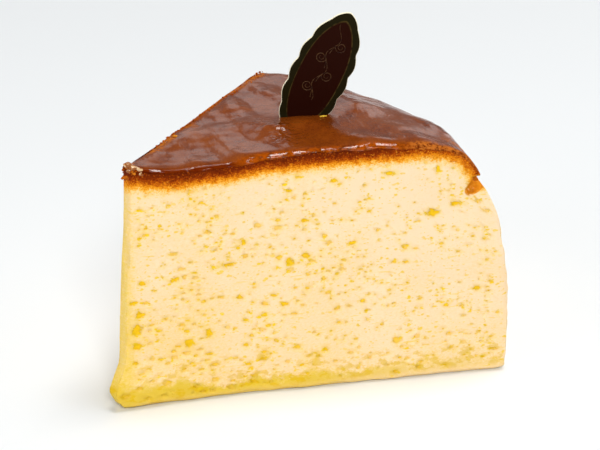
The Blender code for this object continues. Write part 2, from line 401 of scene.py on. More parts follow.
def lines(length: float, pitch: float, first: Sequence[float], last: Sequence[float]) -> np.ndarray:
    """Shares of a length where the mesh has lines.

    Args:
        length: the length that is shared out.
        pitch: the distance between two lines of the middle stretch.
        first: distances of the fine lines at the start, from 0 up.
        last: the same at the end.

    Returns:
        The shares, from 0 to 1.
    """
    middle = length - first[-1] - last[-1]
    count = max(2, round(middle / pitch))
    inner = first[-1] + middle * np.arange(count + 1) / count
    fine_end = length - np.array(last[:-1])[::-1]
    return np.concatenate([first[:-1], inner, fine_end]) / length


@dataclass(frozen=True)
class SliceForm:
    """The outer shape of the slice, the same as the solid's."""

    wedge: float = math.radians(56.0)
    tip_place: Triple = (-43.59 * MM, -35.96 * MM, 0.0)
    bluntness: float = 2.6 * MM
    shoulder: float = 83.0 * MM
    near_top: Curve = Curve((
        (0.0, 59.4), (3.4, 58.4), (8.0, 57.3), (14.0, 57.0), (20.5, 57.2), (27.0, 57.7), (34.0, 58.6),
        (47.0, 59.4), (61.0, 59.0), (68.0, 58.5), (72.5, 57.7), (76.0, 56.6), (79.0, 54.8), (83.0, 50.0),
    ))
    far_top: Curve = Curve((
        (0.0, 59.4), (4.6, 57.8), (12.0, 57.0), (32.0, 56.7), (52.0, 56.5), (68.0, 56.3), (75.0, 56.0),
        (79.5, 54.5), (83.0, 50.0),
    ))
    far_blend: float = 0.15
    wall: Curve = Curve((
        (0.0, 89.9), (7.0, 90.5), (20.0, 89.9), (30.0, 88.9), (37.0, 87.6), (42.0, 85.9), (46.0, 84.1),
        (50.0, 83.0),
    ))
    tuck_depth: float = 0.95 * MM
    tuck_height: float = 48.4 * MM
    tuck_reach: float = 1.5 * MM
    tuck_wave: Wave = Wave(2.6 * MM, 13.0 * MM, 1.5)
    tip_lean: float = 3.0 * MM
    lean_from: float = 8.0 * MM
    foot_squash: float = 3.0 * MM
    foot_height: float = 4.9 * MM
    foot_spread: float = 4.2 * MM
    tip_reach: float = 16.0 * MM
    wall_wave: Wave = Wave(0.5 * MM, 17.0 * MM, 5.0)
    cut_wave: Wave = Wave(0.35 * MM, 12.0 * MM, 3.0)
    top_wave: Wave = Wave(0.55 * MM, 9.0 * MM, 7.0)
    base_wave: Wave = Wave(0.7 * MM, 6.5 * MM, 9.0)
    base_lift: float = 0.2 * MM
    top_edge: float = 1.4 * MM
    shoulder_edge: float = 1.2 * MM
    base_edge: float = 1.5 * MM
    side_edge: float = 0.9 * MM

    def top_height(self, out: np.ndarray, turn: np.ndarray) -> np.ndarray:
        """Height of the top.

        Args:
            out: distances from the tip.
            turn: shares of the wedge's angle.

        Returns:
            The heights.
        """
        far = eased(self.far_blend, 1.0, turn)
        return (1.0 - far) * self.near_top.at(out) + far * self.far_top.at(out)

    def wall_radius(self, height: np.ndarray, turn: np.ndarray) -> np.ndarray:
        """Distance of the wall from the tip, tucked in below the browned skin.

        Args:
            height: heights from the base.
            turn: shares of the wedge's angle.

        Returns:
            The distances.
        """
        run = np.outer(turn * self.shoulder * self.wedge, (1.0, 0.0, 0.0))
        share = np.exp(-(((height - self.tuck_height) / self.tuck_reach) ** 2))
        tuck = share * np.maximum(0.0, self.tuck_depth + self.tuck_wave.at(run))
        return self.wall.at(height) - tuck

    def tip_push(self, height: np.ndarray) -> np.ndarray:
        """How far the tip is pushed out at each height.

        Args:
            height: heights from the base.

        Returns:
            The distances.
        """
        top = self.near_top.points[0][1] * MM
        foot = np.exp(-(((height - self.foot_height) / self.foot_spread) ** 2))
        return self.tip_lean * (1.0 - eased(self.lean_from, top, height)) + self.foot_squash * foot

    def edge_radius(self, pair: Iterable[Face]) -> float:
        """The rounding of the edge between two faces.

        Args:
            pair: the two faces.

        Returns:
            The edge's radius.
        """
        if Face.BASE in pair:
            return self.base_edge
        if Face.TOP in pair:
            return self.shoulder_edge if Face.WALL in pair else self.top_edge
        return self.side_edge

    def rounding(self, distance: np.ndarray, radius: float) -> tuple[np.ndarray, np.ndarray]:
        """How points near a rounded edge move.

        Args:
            distance: distances from the edge along the face.
            radius: the edge's radius.

        Returns:
            The moves in from the face, and in from its neighbour.
        """
        angle = math.pi / 4 * (1.0 - np.minimum(distance, radius) / radius)
        inner = radius * (1.0 - np.cos(angle))
        along = radius * (1.0 - np.sin(angle)) - np.minimum(distance, radius)
        return inner, along

    def inward(self, face: Face, ray: np.ndarray) -> np.ndarray:
        """Directions into the cake from a face.

        Args:
            face: the face.
            ray: for each point, the level direction out from the tip.

        Returns:
            One direction for each point.
        """
        fixed = {
            Face.NEAR: (0.0, 1.0, 0.0),
            Face.FAR: (math.sin(self.wedge), -math.cos(self.wedge), 0.0),
            Face.BASE: (0.0, 0.0, 1.0),
            Face.TOP: (0.0, 0.0, -1.0),
        }
        if face in fixed:
            return np.tile(fixed[face], (len(ray), 1))
        return ray if face is Face.TIP else -ray

    def surface(self, out_share: np.ndarray, turn: np.ndarray, up_share: np.ndarray) -> np.ndarray:
        """Points of the surface.

        Args:
            out_share: shares of the way from the tip to the wall.
            turn: shares of the wedge's angle from the near cut.
            up_share: shares of the height. For each point one or more of the three is 0 or 1.

        Returns:
            The points, one row each.
        """
        top = self.top_height(self.nominal(out_share), turn)
        height = up_share * top
        wall = self.wall_radius(height, turn)
        out = self.bluntness + out_share * (wall - self.bluntness)
        angle = turn * self.wedge
        ray = np.stack([np.cos(angle), np.sin(angle), np.zeros_like(angle)], axis=1)
        place = ray * out[:, None] + np.outer(height, (0.0, 0.0, 1.0))
        distance = {
            Face.NEAR: out * angle,
            Face.FAR: out * (self.wedge - angle),
            Face.TIP: out - self.bluntness,
            Face.WALL: wall - out,
            Face.BASE: height,
            Face.TOP: top - height,
        }
        on = {
            Face.NEAR: turn <= 0.0,
            Face.FAR: turn >= 1.0,
            Face.TIP: out_share <= 0.0,
            Face.WALL: out_share >= 1.0,
            Face.BASE: up_share <= 0.0,
            Face.TOP: up_share >= 1.0,
        }
        moved = np.zeros_like(place)
        for first, second in combinations(Face, 2):
            if {first, second} in OPPOSITE:
                continue
            radius = self.edge_radius((first, second))
            for face, other, mask in (
                (first, second, on[first]),
                (second, first, on[second] & ~on[first]),
            ):
                inner, along = self.rounding(distance[other], radius)
                moved += (mask * inner)[:, None] * self.inward(face, ray)
                moved += (mask * along)[:, None] * self.inward(other, ray)
        bisector = np.array((math.cos(self.wedge / 2), math.sin(self.wedge / 2), 0.0))
        near_tip = np.exp(-((out / self.tip_reach) ** 2))
        moved -= np.outer(self.tip_push(height) * near_tip, bisector)
        cut = self.cut_wave.at(place)
        moved += (on[Face.NEAR] * cut)[:, None] * self.inward(Face.NEAR, ray)
        moved += (on[Face.FAR] * ~on[Face.NEAR] * cut)[:, None] * self.inward(Face.FAR, ray)
        moved -= (on[Face.WALL] * self.wall_wave.at(place))[:, None] * ray
        moved[:, 2] += on[Face.TOP] * self.top_wave.at(place)
        side = np.minimum.reduce([distance[f] for f in (Face.NEAR, Face.FAR, Face.TIP, Face.WALL)])
        edge = np.maximum(0.0, 1.0 - side / self.base_edge)
        edge *= np.maximum(0.0, 1.0 - height / self.base_edge)
        moved[:, 2] += edge * np.maximum(0.0, self.base_lift + self.base_wave.at(place))
        return np.array(self.tip_place) + place + moved

    def shares_on_cut(self, out: np.ndarray, height: np.ndarray, turn: float) -> np.ndarray:
        """Where points of a cut lie in shares.

        Args:
            out: distances from the tip.
            height: heights from the base.
            turn: 0 for the near cut and 1 for the far cut.

        Returns:
            Rows of the share outwards and the share upwards.
        """
        turns = np.full(len(out), turn)
        out_share = (out - self.bluntness) / (self.wall_radius(height, turns) - self.bluntness)
        return np.stack([out_share, height / self.top_height(self.nominal(out_share), turns)], axis=1)

    def nominal(self, out_share: np.ndarray) -> np.ndarray:
        """Distances from the tip at shares of the way to the shoulder."""
        return self.bluntness + out_share * (self.shoulder - self.bluntness)

    def out_of(self, points: np.ndarray) -> np.ndarray:
        """Distances of points from the tip, seen from above."""
        return np.hypot(points[:, 0] - self.tip_place[0], points[:, 1] - self.tip_place[1])


@dataclass(frozen=True)
class Bubble:
    """An open bubble of the crumb on a cut, with its tone from 0, pale, to 1, deep gold; the gold is partly
    the crumb's own colour and partly painted light from inside the translucent crumb.
    """

    out: float
    height: float
    width: float
    tall: float
    tone: float


@dataclass(frozen=True)
class BubbleField:
    """The rule that spreads bubbles over a cut.

    The shown bubbles are placed first. Each is its distance out, height, width and tallness in millimetres.
    """

    seed: int
    count: int
    shown: tuple[tuple[float, float, float, float], ...] = ()
    usual_width: float = 0.82 * MM
    spread: float = 0.42
    coarseness: float = 0.88
    coarser: float = 0.9
    smallest: float = 0.42 * MM
    largest: float = 2.3 * MM
    shape: Pair = (0.42, 0.8)
    # tones lean to deep gold: partly the crumb's own colour, partly painted light from inside the
    # translucent crumb
    tones: Pair = (0.5, 1.0)
    gap: float = 0.22 * MM
    margin: float = 1.9 * MM
    past_shoulder: float = 5.0 * MM
    highest: float = 58.0 * MM
    farthest: float = 90.0 * MM
    likely: float = 0.3
    likelier_low: float = 0.35
    likelier_inside: float = 0.25
    patch: Wave = Wave(1.1, 11.0 * MM, 21.0)

    def bubbles(self, form: SliceForm) -> list[Bubble]:
        """Draws the bubbles, clear of each other and of the cut's edges.

        Args:
            form: the slice's shape.

        Returns:
            The bubbles.
        """
        draw = random.Random(self.seed)
        found = [Bubble(*(value * MM for value in row), tone=1.0) for row in self.shown]
        while len(found) < self.count:
            out = draw.uniform(form.bluntness + self.margin, form.shoulder + self.past_shoulder)
            height = draw.uniform(self.margin, self.highest)
            low, inner = self.low_and_inner(out, height)
            coarse = self.coarseness + self.coarser * max(0.0, low * inner)
            width = self.usual_width * coarse * math.exp(draw.gauss(0.0, self.spread))
            width = min(max(width, self.smallest), self.largest)
            tall = width * draw.uniform(*self.shape)
            tone = draw.uniform(*self.tones)
            wanted = draw.random()
            top = form.near_top.at(np.array([min(out, form.shoulder)]))[0]
            wall = form.wall.at(np.array([height]))[0]
            clear_of_edges = height < top - self.margin and out < wall - self.margin
            if not clear_of_edges or wanted > self.density(out, height):
                continue
            if all(self.apart(b, out, height, width, tall) for b in found):
                found.append(Bubble(out, height, width, tall, tone))
        return found

    def low_and_inner(self, out: float, height: float) -> Pair:
        """How low down and how near the tip a place is, each from 0 to 1."""
        return 1.0 - height / self.highest, 1.0 - out / self.farthest

    def density(self, out: float, height: float) -> float:
        """How likely a bubble is: more of them low down and towards the tip, and in patches.

        Args:
            out: distance from the tip.
            height: height from the base.

        Returns:
            The chance that a bubble drawn there is kept.
        """
        low, inner = self.low_and_inner(out, height)
        patch = self.patch.at(np.array([(out, height, 0.0)]))[0]
        return self.likely + self.likelier_low * low + self.likelier_inside * inner + patch

    def apart(self, other: Bubble, out: float, height: float, width: float, tall: float) -> bool:
        """Whether a new bubble is clear of another, both seen as ellipses.

        Args:
            other: the other bubble.
            out: the new one's distance from the tip.
            height: its height from the base.
            width: its width.
            tall: its tallness.

        Returns:
            True if they are clear of each other.
        """
        across = (out - other.out) / ((width + other.width) / 2 + self.gap)
        upward = (height - other.height) / ((tall + other.tall) / 2 + self.gap)
        return math.hypot(across, upward) > 1.0


@dataclass(frozen=True)
class CrumbFinish:
    """The porous crumb, browned under the top and moist at the foot and the tip.

    Colours are linear, and places and heights are in millimetres. Dots are given by their cells in each
    millimetre, their size against a cell and the share of the cells that hold one.
    """

    pale: Colour = (0.945, 0.725, 0.480)
    warm: Colour = (0.930, 0.630, 0.250)
    # hole: the gold of the pores and bubbles, partly the crumb's own colour and partly painted light
    # standing for light bouncing inside the translucent crumb and covering the shade in the pits
    hole: Colour = (0.880, 0.590, 0.020)
    torn: Colour = (0.720, 0.270, 0.012)
    foot: Colour = (0.790, 0.550, 0.060)
    deep_foot: Colour = (0.760, 0.490, 0.014)
    tip: Colour = (0.860, 0.610, 0.130)
    browned: tuple[tuple[float, Colour], ...] = (
        (0.00, (0.095, 0.010, 0.0005)),
        (0.30, (0.190, 0.023, 0.0005)),
        (0.46, (0.370, 0.058, 0.0010)),
        (0.59, (0.640, 0.165, 0.0040)),
        (0.73, (0.830, 0.310, 0.0100)),
        (0.87, (0.930, 0.500, 0.0700)),
        (1.00, (0.940, 0.620, 0.2200)),
    )
    flat_stretch: Triple = (1.0, 1.0, 1.6)
    flat_warp: Pair = (0.8, 1.3)
    long_stretch: Triple = (0.35, 0.35, 2.0)
    long_warp: Pair = (0.4, 1.6)
    soft: Grain = Grain(0.09)
    grain: Grain = Grain(1.5, 3.0, 0.6)
    fine: Grain = Grain(3.2, 2.0, 0.6)
    streaks: Grain = Grain(0.8)
    streak_edge: Slope = Slope(0.64, 0.74, 0.6)
    pinholes: Triple = (0.6, 0.36, 0.35)
    pinhole_share: float = 0.8
    specks: Triple = (1.2, 0.40, 0.3)
    speck_share: float = 0.6
    dotted_patches: Grain = Grain(0.12)
    dotted_edge: Slope = Slope(0.38, 0.58, 0.6)
    dotted_least: float = 0.4
    warmth: float = 0.55
    warmth_soft: float = 0.9
    warmth_grain: float = 1.5
    paler_up: Slope = Slope(5.0, 45.0, 0.3)
    paler_out: Slope = Slope(-40.0, 30.0, 0.25)
    tip_fade: Slope = Slope(-43.0, -39.5)
    tip_share: float = 0.85
    tip_grain: float = 1.6
    tip_clears: float = 0.6
    moist_reach: float = 9.8
    moist_falls: Slope = Slope(-45.0, -18.0, 4.8)
    moist_patches: Grain = Grain(0.18)
    moist_uneven: float = 14.0
    moist_grain: float = 5.0
    moist_core: float = 0.5
    drier_out: Slope = Slope(-10.0, 42.0)
    drier_share: float = 0.62
    dry_base: Slope = Slope(0.8, 2.6)
    dry_base_share: float = 0.25
    dry_base_out: float = 0.45
    splashes: Grain = Grain(0.28, 3.0, 0.6)
    splash_edge: Slope = Slope(0.5, 0.62)
    splash_above: Pair = (1.0, 5.0)
    splash_from: Slope = Slope(1.0, 3.0, 0.6)
    skin_ragged: Grain = Grain(0.5)
    skin_weights: Triple = (0.55, 0.5, 0.45)
    skin_paler_out: Slope = Slope(12.0, 34.0, 0.36)
    skin_end: Slope = Slope(0.80, 1.25)
    torn_grain: Slope = Slope(0.25, 0.5)
    roughness: float = 0.72
    moist_shine: float = 0.3
    glow: float = 0.12
    glow_radius: Triple = (1.0, 0.6, 0.3)
    glow_scale: float = 0.6 * MM
    specular: float = 0.04
    bump_fine: float = 0.5
    bump_dotted: float = 0.6
    bump: Pair = (0.5, 0.12 * MM)

    def material(self, form: SliceForm) -> bpy.types.Material:
        """Makes the crumb's material.

        Args:
            form: the slice's shape, which places the tears.

        Returns:
            The material.
        """
        bench = Bench("baked_crumb")
        mm = bench.place()
        along = bench.part(mm, "X")
        flat = bench.warped(bench.place(self.flat_stretch), *self.flat_warp)
        grain = bench.cloud(flat, self.grain)
        fine = bench.cloud(mm, self.fine)
        colour, dotted = self.crumb_colour(bench, mm, flat, grain)
        colour, moist = self.moistened(bench, colour, flat, grain)

        ragged = bench.cloud(mm, self.skin_ragged)
        share = bench.field("skin") + self.skin_paler_out.on(along)
        for noisy, weight in zip((grain, fine, ragged), self.skin_weights):
            share = share + (noisy - MIDDLE) * weight
        colour = bench.mix(1.0 - self.skin_end.on(share), colour, bench.ramp(share, self.browned))
        for tear in (NICK, CORNER):
            colour = bench.mix(tear.shade(bench, form) * self.torn_grain.on(grain), colour, self.torn)

        bench.finish(Base_Color=colour, Roughness=self.roughness - moist * self.moist_shine)
        bench.finish(Subsurface_Weight=self.glow, Subsurface_Radius=self.glow_radius)
        bench.finish(Subsurface_Scale=self.glow_scale, Specular_IOR_Level=self.specular)
        bench.bump(grain + fine * self.bump_fine - dotted * self.bump_dotted, *self.bump)
        return bench.material

    def crumb_colour(self, bench: Bench, mm: Wire, flat: Wire, grain: Wire) -> tuple[Wire, Wire]:
        """The bare crumb, warmer low down, yellow at the tip, and dotted with pores.

        Args:
            bench: the material's nodes.
            mm: the place in millimetres.
            flat: the place that flattened pores are read at.
            grain: the crumb's grain.

        Returns:
            The colour, and where it is dotted.
        """
        height = bench.part(mm, "Z")
        along = bench.part(mm, "X")
        long = bench.warped(bench.place(self.long_stretch), *self.long_warp)
        soft = bench.cloud(mm, self.soft)
        lower = self.warmth - self.paler_up.on(height) - self.paler_out.on(along)
        warm = (soft - MIDDLE) * self.warmth_soft + (grain - MIDDLE) * self.warmth_grain + lower
        tip = (1.0 - self.tip_fade.on(along)) * (self.tip_share + (grain - MIDDLE) * self.tip_grain)
        colour = bench.mix(tip, bench.mix(warm, self.pale, self.warm), self.tip)
        dotted = bench.dots(flat, *self.pinholes) * self.pinhole_share
        dotted = dotted + bench.dots(flat, *self.specks) * self.speck_share
        dotted = dotted + self.streak_edge.on(bench.cloud(long, self.streaks))
        patches = self.dotted_edge.on(bench.cloud(mm, self.dotted_patches)) + self.dotted_least
        dotted = dotted * (1.0 - tip * self.tip_clears) * patches
        # the pores' gold laid here is partly painted light from inside the translucent crumb
        return bench.mix(dotted + bench.field("hole"), colour, self.hole), dotted

    def moistened(self, bench: Bench, colour: Wire, flat: Wire, grain: Wire) -> tuple[Wire, Wire]:
        """Moistens the foot, unevenly and less towards the wall.

        Args:
            bench: the material's nodes.
            colour: the colour above the foot.
            flat: the place that flattened pores are read at.
            grain: the crumb's grain.

        Returns:
            The colour, and how moist it is.
        """
        mm = bench.place()
        height = bench.part(mm, "Z")
        along = bench.part(mm, "X")
        patchy = bench.cloud(mm, self.moist_patches) - MIDDLE
        reach = self.moist_reach - self.moist_falls.on(along)
        reach = reach + patchy * self.moist_uneven + (grain - MIDDLE) * self.moist_grain
        drier = self.drier_out.on(along)
        moist = (1.0 - height.eased(reach * self.moist_core, reach)) * (1.0 - drier * self.drier_share)
        dry_base = self.dry_base_share + drier * self.dry_base_out
        moist = moist * (1.0 - (1.0 - self.dry_base.on(height)) * dry_base)
        splash = self.splash_edge.on(bench.cloud(flat, self.splashes))
        low, high = self.splash_above
        above = splash * (1.0 - height.eased(reach + low, reach + high)) * self.splash_from.on(height)
        colour = bench.mix(above, colour, self.deep_foot)
        return bench.mix(moist, colour, bench.mix(splash, self.foot, self.deep_foot)), moist


@dataclass(frozen=True)
class GlazeFinish:
    """The glossy glaze over the browned top. Colours are linear, and places are in millimetres."""

    dark: Colour = (0.105, 0.016, 0.001)
    brown: Colour = (0.205, 0.040, 0.002)
    bright: Colour = (0.285, 0.067, 0.005)
    tone_stops: Triple = (0.15, 0.5, 0.95)
    amber: Colour = (0.360, 0.066, 0.002)
    bead: Colour = (0.120, 0.012, 0.001)
    crust: Colour = (0.520, 0.150, 0.020)
    clouds: Grain = Grain(0.13)
    brushed: Triple = (1.0, 0.3, 1.0)
    brushed_warp: Pair = (0.12, 4.0)
    swirl: Grain = Grain(0.28, 3.0, 0.55)
    mottle: Grain = Grain(0.8, 3.0, 0.6)
    grain: Grain = Grain(3.0, 2.0, 0.7)
    rubble: Grain = Grain(1.1, 2.0, 0.7)
    crumple: Grain = Grain(0.55, 1.0)
    crumple_warp: Pair = (0.5, 1.5)
    tone_shift: float = -0.15
    tone_clouds: float = 0.8
    tone_mottle: float = 0.5
    tone_grain: float = 0.9
    tone_swirl: float = 0.6
    amber_rubble: float = 0.8
    amber_edge: Slope = Slope(0.72, 1.04)
    crust_grain: float = 0.4
    crust_edge: Slope = Slope(0.55, 0.8)
    dull_rim: float = 1.3
    dull_crust: Slope = Slope(0.35, 0.5)
    bump_swirl: float = 2.6
    bump_mottle: float = 0.3
    bump_calm_rim: float = 0.85
    bump_grain: float = 0.12
    bump_crust_grain: float = 0.8
    bump_rubble: float = 2.0
    bump_rim_rubble: float = 0.5
    bump_crumple: float = 12.0
    bump: Pair = (0.5, 0.16 * MM)
    wet_stretch: Triple = (0.4, 1.0, 1.0)
    wet: Grain = Grain(1.0)
    wet_least: float = 0.58
    wet_softness: float = 0.05
    wetter_from: Slope = Slope(-16.0, -6.0, 0.1)
    drier_from: Slope = Slope(17.0, 24.0, 0.2)
    roughness: float = 0.2
    roll_shine: float = 0.09
    dull_roughness: float = 0.6
    ior: float = 1.5

    def material(self) -> bpy.types.Material:
        """Makes the glaze's material.

        Returns:
            The material.
        """
        bench = Bench("top_glaze")
        mm = bench.place()
        rim, bead, roll = [bench.field(name) for name in ("rim", "bead", "roll")]
        swirl = bench.cloud(bench.warped(bench.place(self.brushed), *self.brushed_warp), self.swirl)
        mottle = bench.cloud(mm, self.mottle)
        grain = bench.cloud(mm, self.grain)
        rubble = bench.cloud(mm, self.rubble)
        tone = bench.cloud(mm, self.clouds) * self.tone_clouds + mottle * self.tone_mottle
        tone = tone + (grain - MIDDLE) * self.tone_grain + (swirl - MIDDLE) * self.tone_swirl
        stops = tuple(zip(self.tone_stops, (self.dark, self.brown, self.bright)))
        colour = bench.mix(bead, bench.ramp(tone + self.tone_shift, stops), self.bead)
        ambered = self.amber_edge.on(rubble * self.amber_rubble + mottle)
        colour = bench.mix(rim * ambered, colour, self.amber)
        crust = bench.field("crust") * self.crust_edge.on(rubble + grain * self.crust_grain)
        colour = bench.mix(crust, colour, self.crust)
        shine = self.roughness - roll * self.roll_shine
        bench.finish(Base_Color=colour, Roughness=shine, IOR=self.ior)

        uneven = (swirl * self.bump_swirl + mottle * self.bump_mottle) * (1.0 - rim * self.bump_calm_rim)
        uneven = uneven + grain * (self.bump_grain + crust * self.bump_crust_grain)
        rubbly = (bench.field("crust") + rim * self.bump_rim_rubble) * self.bump_rubble
        crumple = bench.cloud(bench.warped(mm, *self.crumple_warp), self.crumple)
        uneven = uneven + rubble * rubbly + crumple * bench.field("crumple") * self.bump_crumple
        bench.bump(uneven, *self.bump)

        along = bench.part(mm, "X")
        least = self.wet_least - self.wetter_from.on(along) + self.drier_from.on(along)
        beads = bench.cloud(bench.place(self.wet_stretch), self.wet)
        wet = roll * beads.eased(least, least + self.wet_softness)
        dull = rim * self.dull_rim + bead + bench.field("crust") * self.dull_crust.on(rubble)
        dry = {"Roughness": self.dull_roughness, "Specular_IOR_Level": 0.0}
        bench.blend(dull * (1.0 - wet), Base_Color=colour, **dry)
        return bench.material


@dataclass(frozen=True)
class GrainFinish:
    """Crumbs of the crust, from dark to orange by the mesh's own tone. Colours are linear."""

    tones: tuple[tuple[float, Colour], ...] = (
        (0.0, (0.150, 0.020, 0.001)),
        (0.4, (0.340, 0.060, 0.004)),
        (0.8, (0.700, 0.240, 0.018)),
        (1.0, (0.860, 0.600, 0.060)),
    )
    grain: Grain = Grain(3.0)
    tone_grain: float = 0.3
    roughness: float = 0.15
    dull_roughness: float = 0.6
    dull_from: Slope = Slope(0.05, 0.2)
    bump: Pair = (0.4, 0.08 * MM)

    def material(self) -> bpy.types.Material:
        """Makes the crumbs' material.

        Returns:
            The material.
        """
        bench = Bench("crust_crumbs")
        grain = bench.cloud(bench.place(), self.grain)
        tone = bench.field("tone") + (grain - MIDDLE) * self.tone_grain
        colour = bench.ramp(tone, self.tones)
        bench.finish(Base_Color=colour, Roughness=self.roughness)
        bench.bump(grain, *self.bump)
        dry = {"Roughness": self.dull_roughness, "Specular_IOR_Level": 0.0}
        bench.blend(self.dull_from.on(tone), Base_Color=colour, **dry)
        return bench.material


@dataclass(frozen=True)
class DropFinish:
    """The glassy drops of glaze, clear to cloudy. Colours are linear."""

    clear: Colour = (0.30, 0.085, 0.010)
    cloudy: Colour = (0.70, 0.46, 0.24)
    clouds: Grain = Grain(1.1)
    cloud_edge: Slope = Slope(0.45, 0.6)
    roughness: float = 0.06
    ior: float = 1.5
    lumps: Grain = Grain(2.0)
    bump: Pair = (0.4, 0.2 * MM)

    def material(self) -> bpy.types.Material:
        """Makes the drops' material.

        Returns:
            The material.
        """
        bench = Bench("glassy_glaze")
        cloudy = self.cloud_edge.on(bench.cloud(bench.place(), self.clouds))
        bench.finish(Base_Color=bench.mix(cloudy, self.clear, self.cloudy))
        bench.finish(Roughness=self.roughness, IOR=self.ior)
        bench.bump(bench.cloud(bench.place(), self.lumps), *self.bump)
        return bench.material


@dataclass(frozen=True)
class CardFinish:
    """The foil card: a dark panel in an olive gold rim, with a pale gold cut edge. Colours are linear."""

    panel: Colour = (0.0185, 0.0030, 0.0010)
    rim: Colour = (0.0125, 0.0095, 0.0022)
    line: Colour = (0.070, 0.046, 0.012)
    edge: Colour = (0.95, 0.88, 0.66)
    vine: Colour = (0.085, 0.040, 0.014)
    scuffs: Grain = Grain(0.9, 3.0)
    line_wear: Slope = Slope(0.3, 0.6)
    roughness: float = 0.42
    scuffed: float = 0.3
    rim_shine: float = 0.08
    specular: float = 0.03
    bump: Pair = (0.12, 0.05 * MM)
    vine_wear: Grain = Grain(1.6)
    vine_edge: Slope = Slope(0.35, 0.6)
    vine_roughness: float = 0.4
    vine_specular: float = 0.15

    def card(self) -> bpy.types.Material:
        """Makes the card's material.

        Returns:
            The material.
        """
        bench = Bench("foil_card")
        scuff = bench.cloud(bench.place(), self.scuffs)
        rim = bench.field("rim")
        colour = bench.mix(rim, self.panel, self.rim)
        colour = bench.mix(bench.field("line") * self.line_wear.on(scuff), colour, self.line)
        colour = bench.mix(bench.field("edge"), colour, self.edge)
        shine = self.roughness + (scuff - MIDDLE) * self.scuffed - rim * self.rim_shine
        bench.finish(Base_Color=colour, Roughness=shine, Specular_IOR_Level=self.specular)
        bench.bump(scuff, *self.bump)
        return bench.material

    def ornament(self) -> bpy.types.Material:
        """Makes the vine's material.

        Returns:
            The material.
        """
        bench = Bench("card_vine_gold")
        worn = self.vine_edge.on(bench.cloud(bench.place(), self.vine_wear))
        bench.finish(Base_Color=bench.mix(worn, self.panel, self.vine))
        bench.finish(Roughness=self.vine_roughness, Specular_IOR_Level=self.vine_specular)
        return bench.material


def band(one: Sequence[Any], two: Sequence[Any]) -> list[tuple[Any, ...]]:
    """Four-sided faces that join two closed rings of as many points.

    Args:
        one: the first ring's points.
        two: the second ring's points.

    Returns:
        The faces.
    """
    turns = [(a, (a + 1) % len(one)) for a in range(len(one))]
    return [(one[a], two[a], two[b], one[b]) for a, b in turns]


class Piece:
    """A mesh under construction."""

    def __init__(self) -> None:
        """Starts with no points and no faces."""
        self.points: list[np.ndarray] = []
        self.faces: list[tuple[int, ...]] = []
        self.count = 0

    def add(self, points: np.ndarray) -> int:
        """Adds points.

        Args:
            points: rows of x, y and z.

        Returns:
            The number of the first of them.
        """
        first = self.count
        self.points.append(points)
        self.count += len(points)
        return first

    def mesh(self, name: str) -> bpy.types.Mesh:
        """Makes the mesh, with its faces turned outwards.

        Args:
            name: the mesh's name.

        Returns:
            The mesh.
        """
        data = bpy.data.meshes.new(name)
        data.from_pydata(np.concatenate(self.points).tolist(), [], self.faces)
        tidy = bmesh.new()
        tidy.from_mesh(data)
        bmesh.ops.recalc_face_normals(tidy, faces=tidy.faces)
        tidy.to_mesh(data)
        tidy.free()
        data.shade_smooth()
        return data


def add_object(name: str, data: Any) -> bpy.types.Object:
    """Adds an object that holds this data to the scene.

    Args:
        name: the object's name.
        data: its mesh, curve, light or camera.

    Returns:
        The object.
    """
    made = bpy.data.objects.new(name, data)
    bpy.context.scene.collection.objects.link(made)
    return made


def kept_mesh(name: str, made: bmesh.types.BMesh) -> bpy.types.Mesh:
    """Keeps a mesh that is made, and frees what made it.

    Args:
        name: the mesh's name.
        made: the mesh under construction.

    Returns:
        The mesh.
    """
    mesh = bpy.data.meshes.new(name)
    made.to_mesh(mesh)
    made.free()
    return mesh


def show(name: str, mesh: bpy.types.Mesh, material: bpy.types.Material) -> bpy.types.Object:
    """Puts a piece in the scene and lets it ride on the slice.

    Args:
        name: the piece's name.
        mesh: its mesh.
        material: its finish.

    Returns:
        The piece.
    """
    piece = add_object(name, mesh)
    mesh.materials.clear()
    mesh.materials.append(material)
    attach(piece, BODY)
    log.info("%s: %d points, %d faces", name, len(mesh.vertices), len(mesh.polygons))
    return piece


def point_positions(mesh: bpy.types.Mesh) -> np.ndarray:
    """The mesh's points as rows.

    Args:
        mesh: the mesh.

    Returns:
        Rows of x, y and z.
    """
    flat = np.empty(3 * len(mesh.vertices))
    mesh.vertices.foreach_get("co", flat)
    return flat.reshape(-1, 3)


def keep_field(mesh: bpy.types.Mesh, name: str, values: np.ndarray) -> None:
    """Stores a value for each of the mesh's points, under a name that materials read."""
    field = mesh.attributes.get(name) or mesh.attributes.new(name, "FLOAT", "POINT")
    field.data.foreach_set("value", np.asarray(values, dtype=np.float32))


def add_ball(made: bmesh.types.BMesh, matrix: Matrix, steps: int) -> list[bmesh.types.BMVert]:
    """Adds a ball of triangles.

    Args:
        made: the mesh to add to.
        matrix: what turns a unit ball into it.
        steps: how often its triangles are split.

    Returns:
        Its points.
    """
    return bmesh.ops.create_icosphere(made, subdivisions=steps, radius=1.0, matrix=matrix)["verts"]


def swell(verts: Iterable[bmesh.types.BMVert], depth: float, per_mm: float) -> None:
    """Makes a ball uneven by noise of this depth, with this many waves in each millimetre."""
    for vert in verts:
        vert.co += vert.normal * depth * noise.noise(vert.co * per_mm * PER_MM)


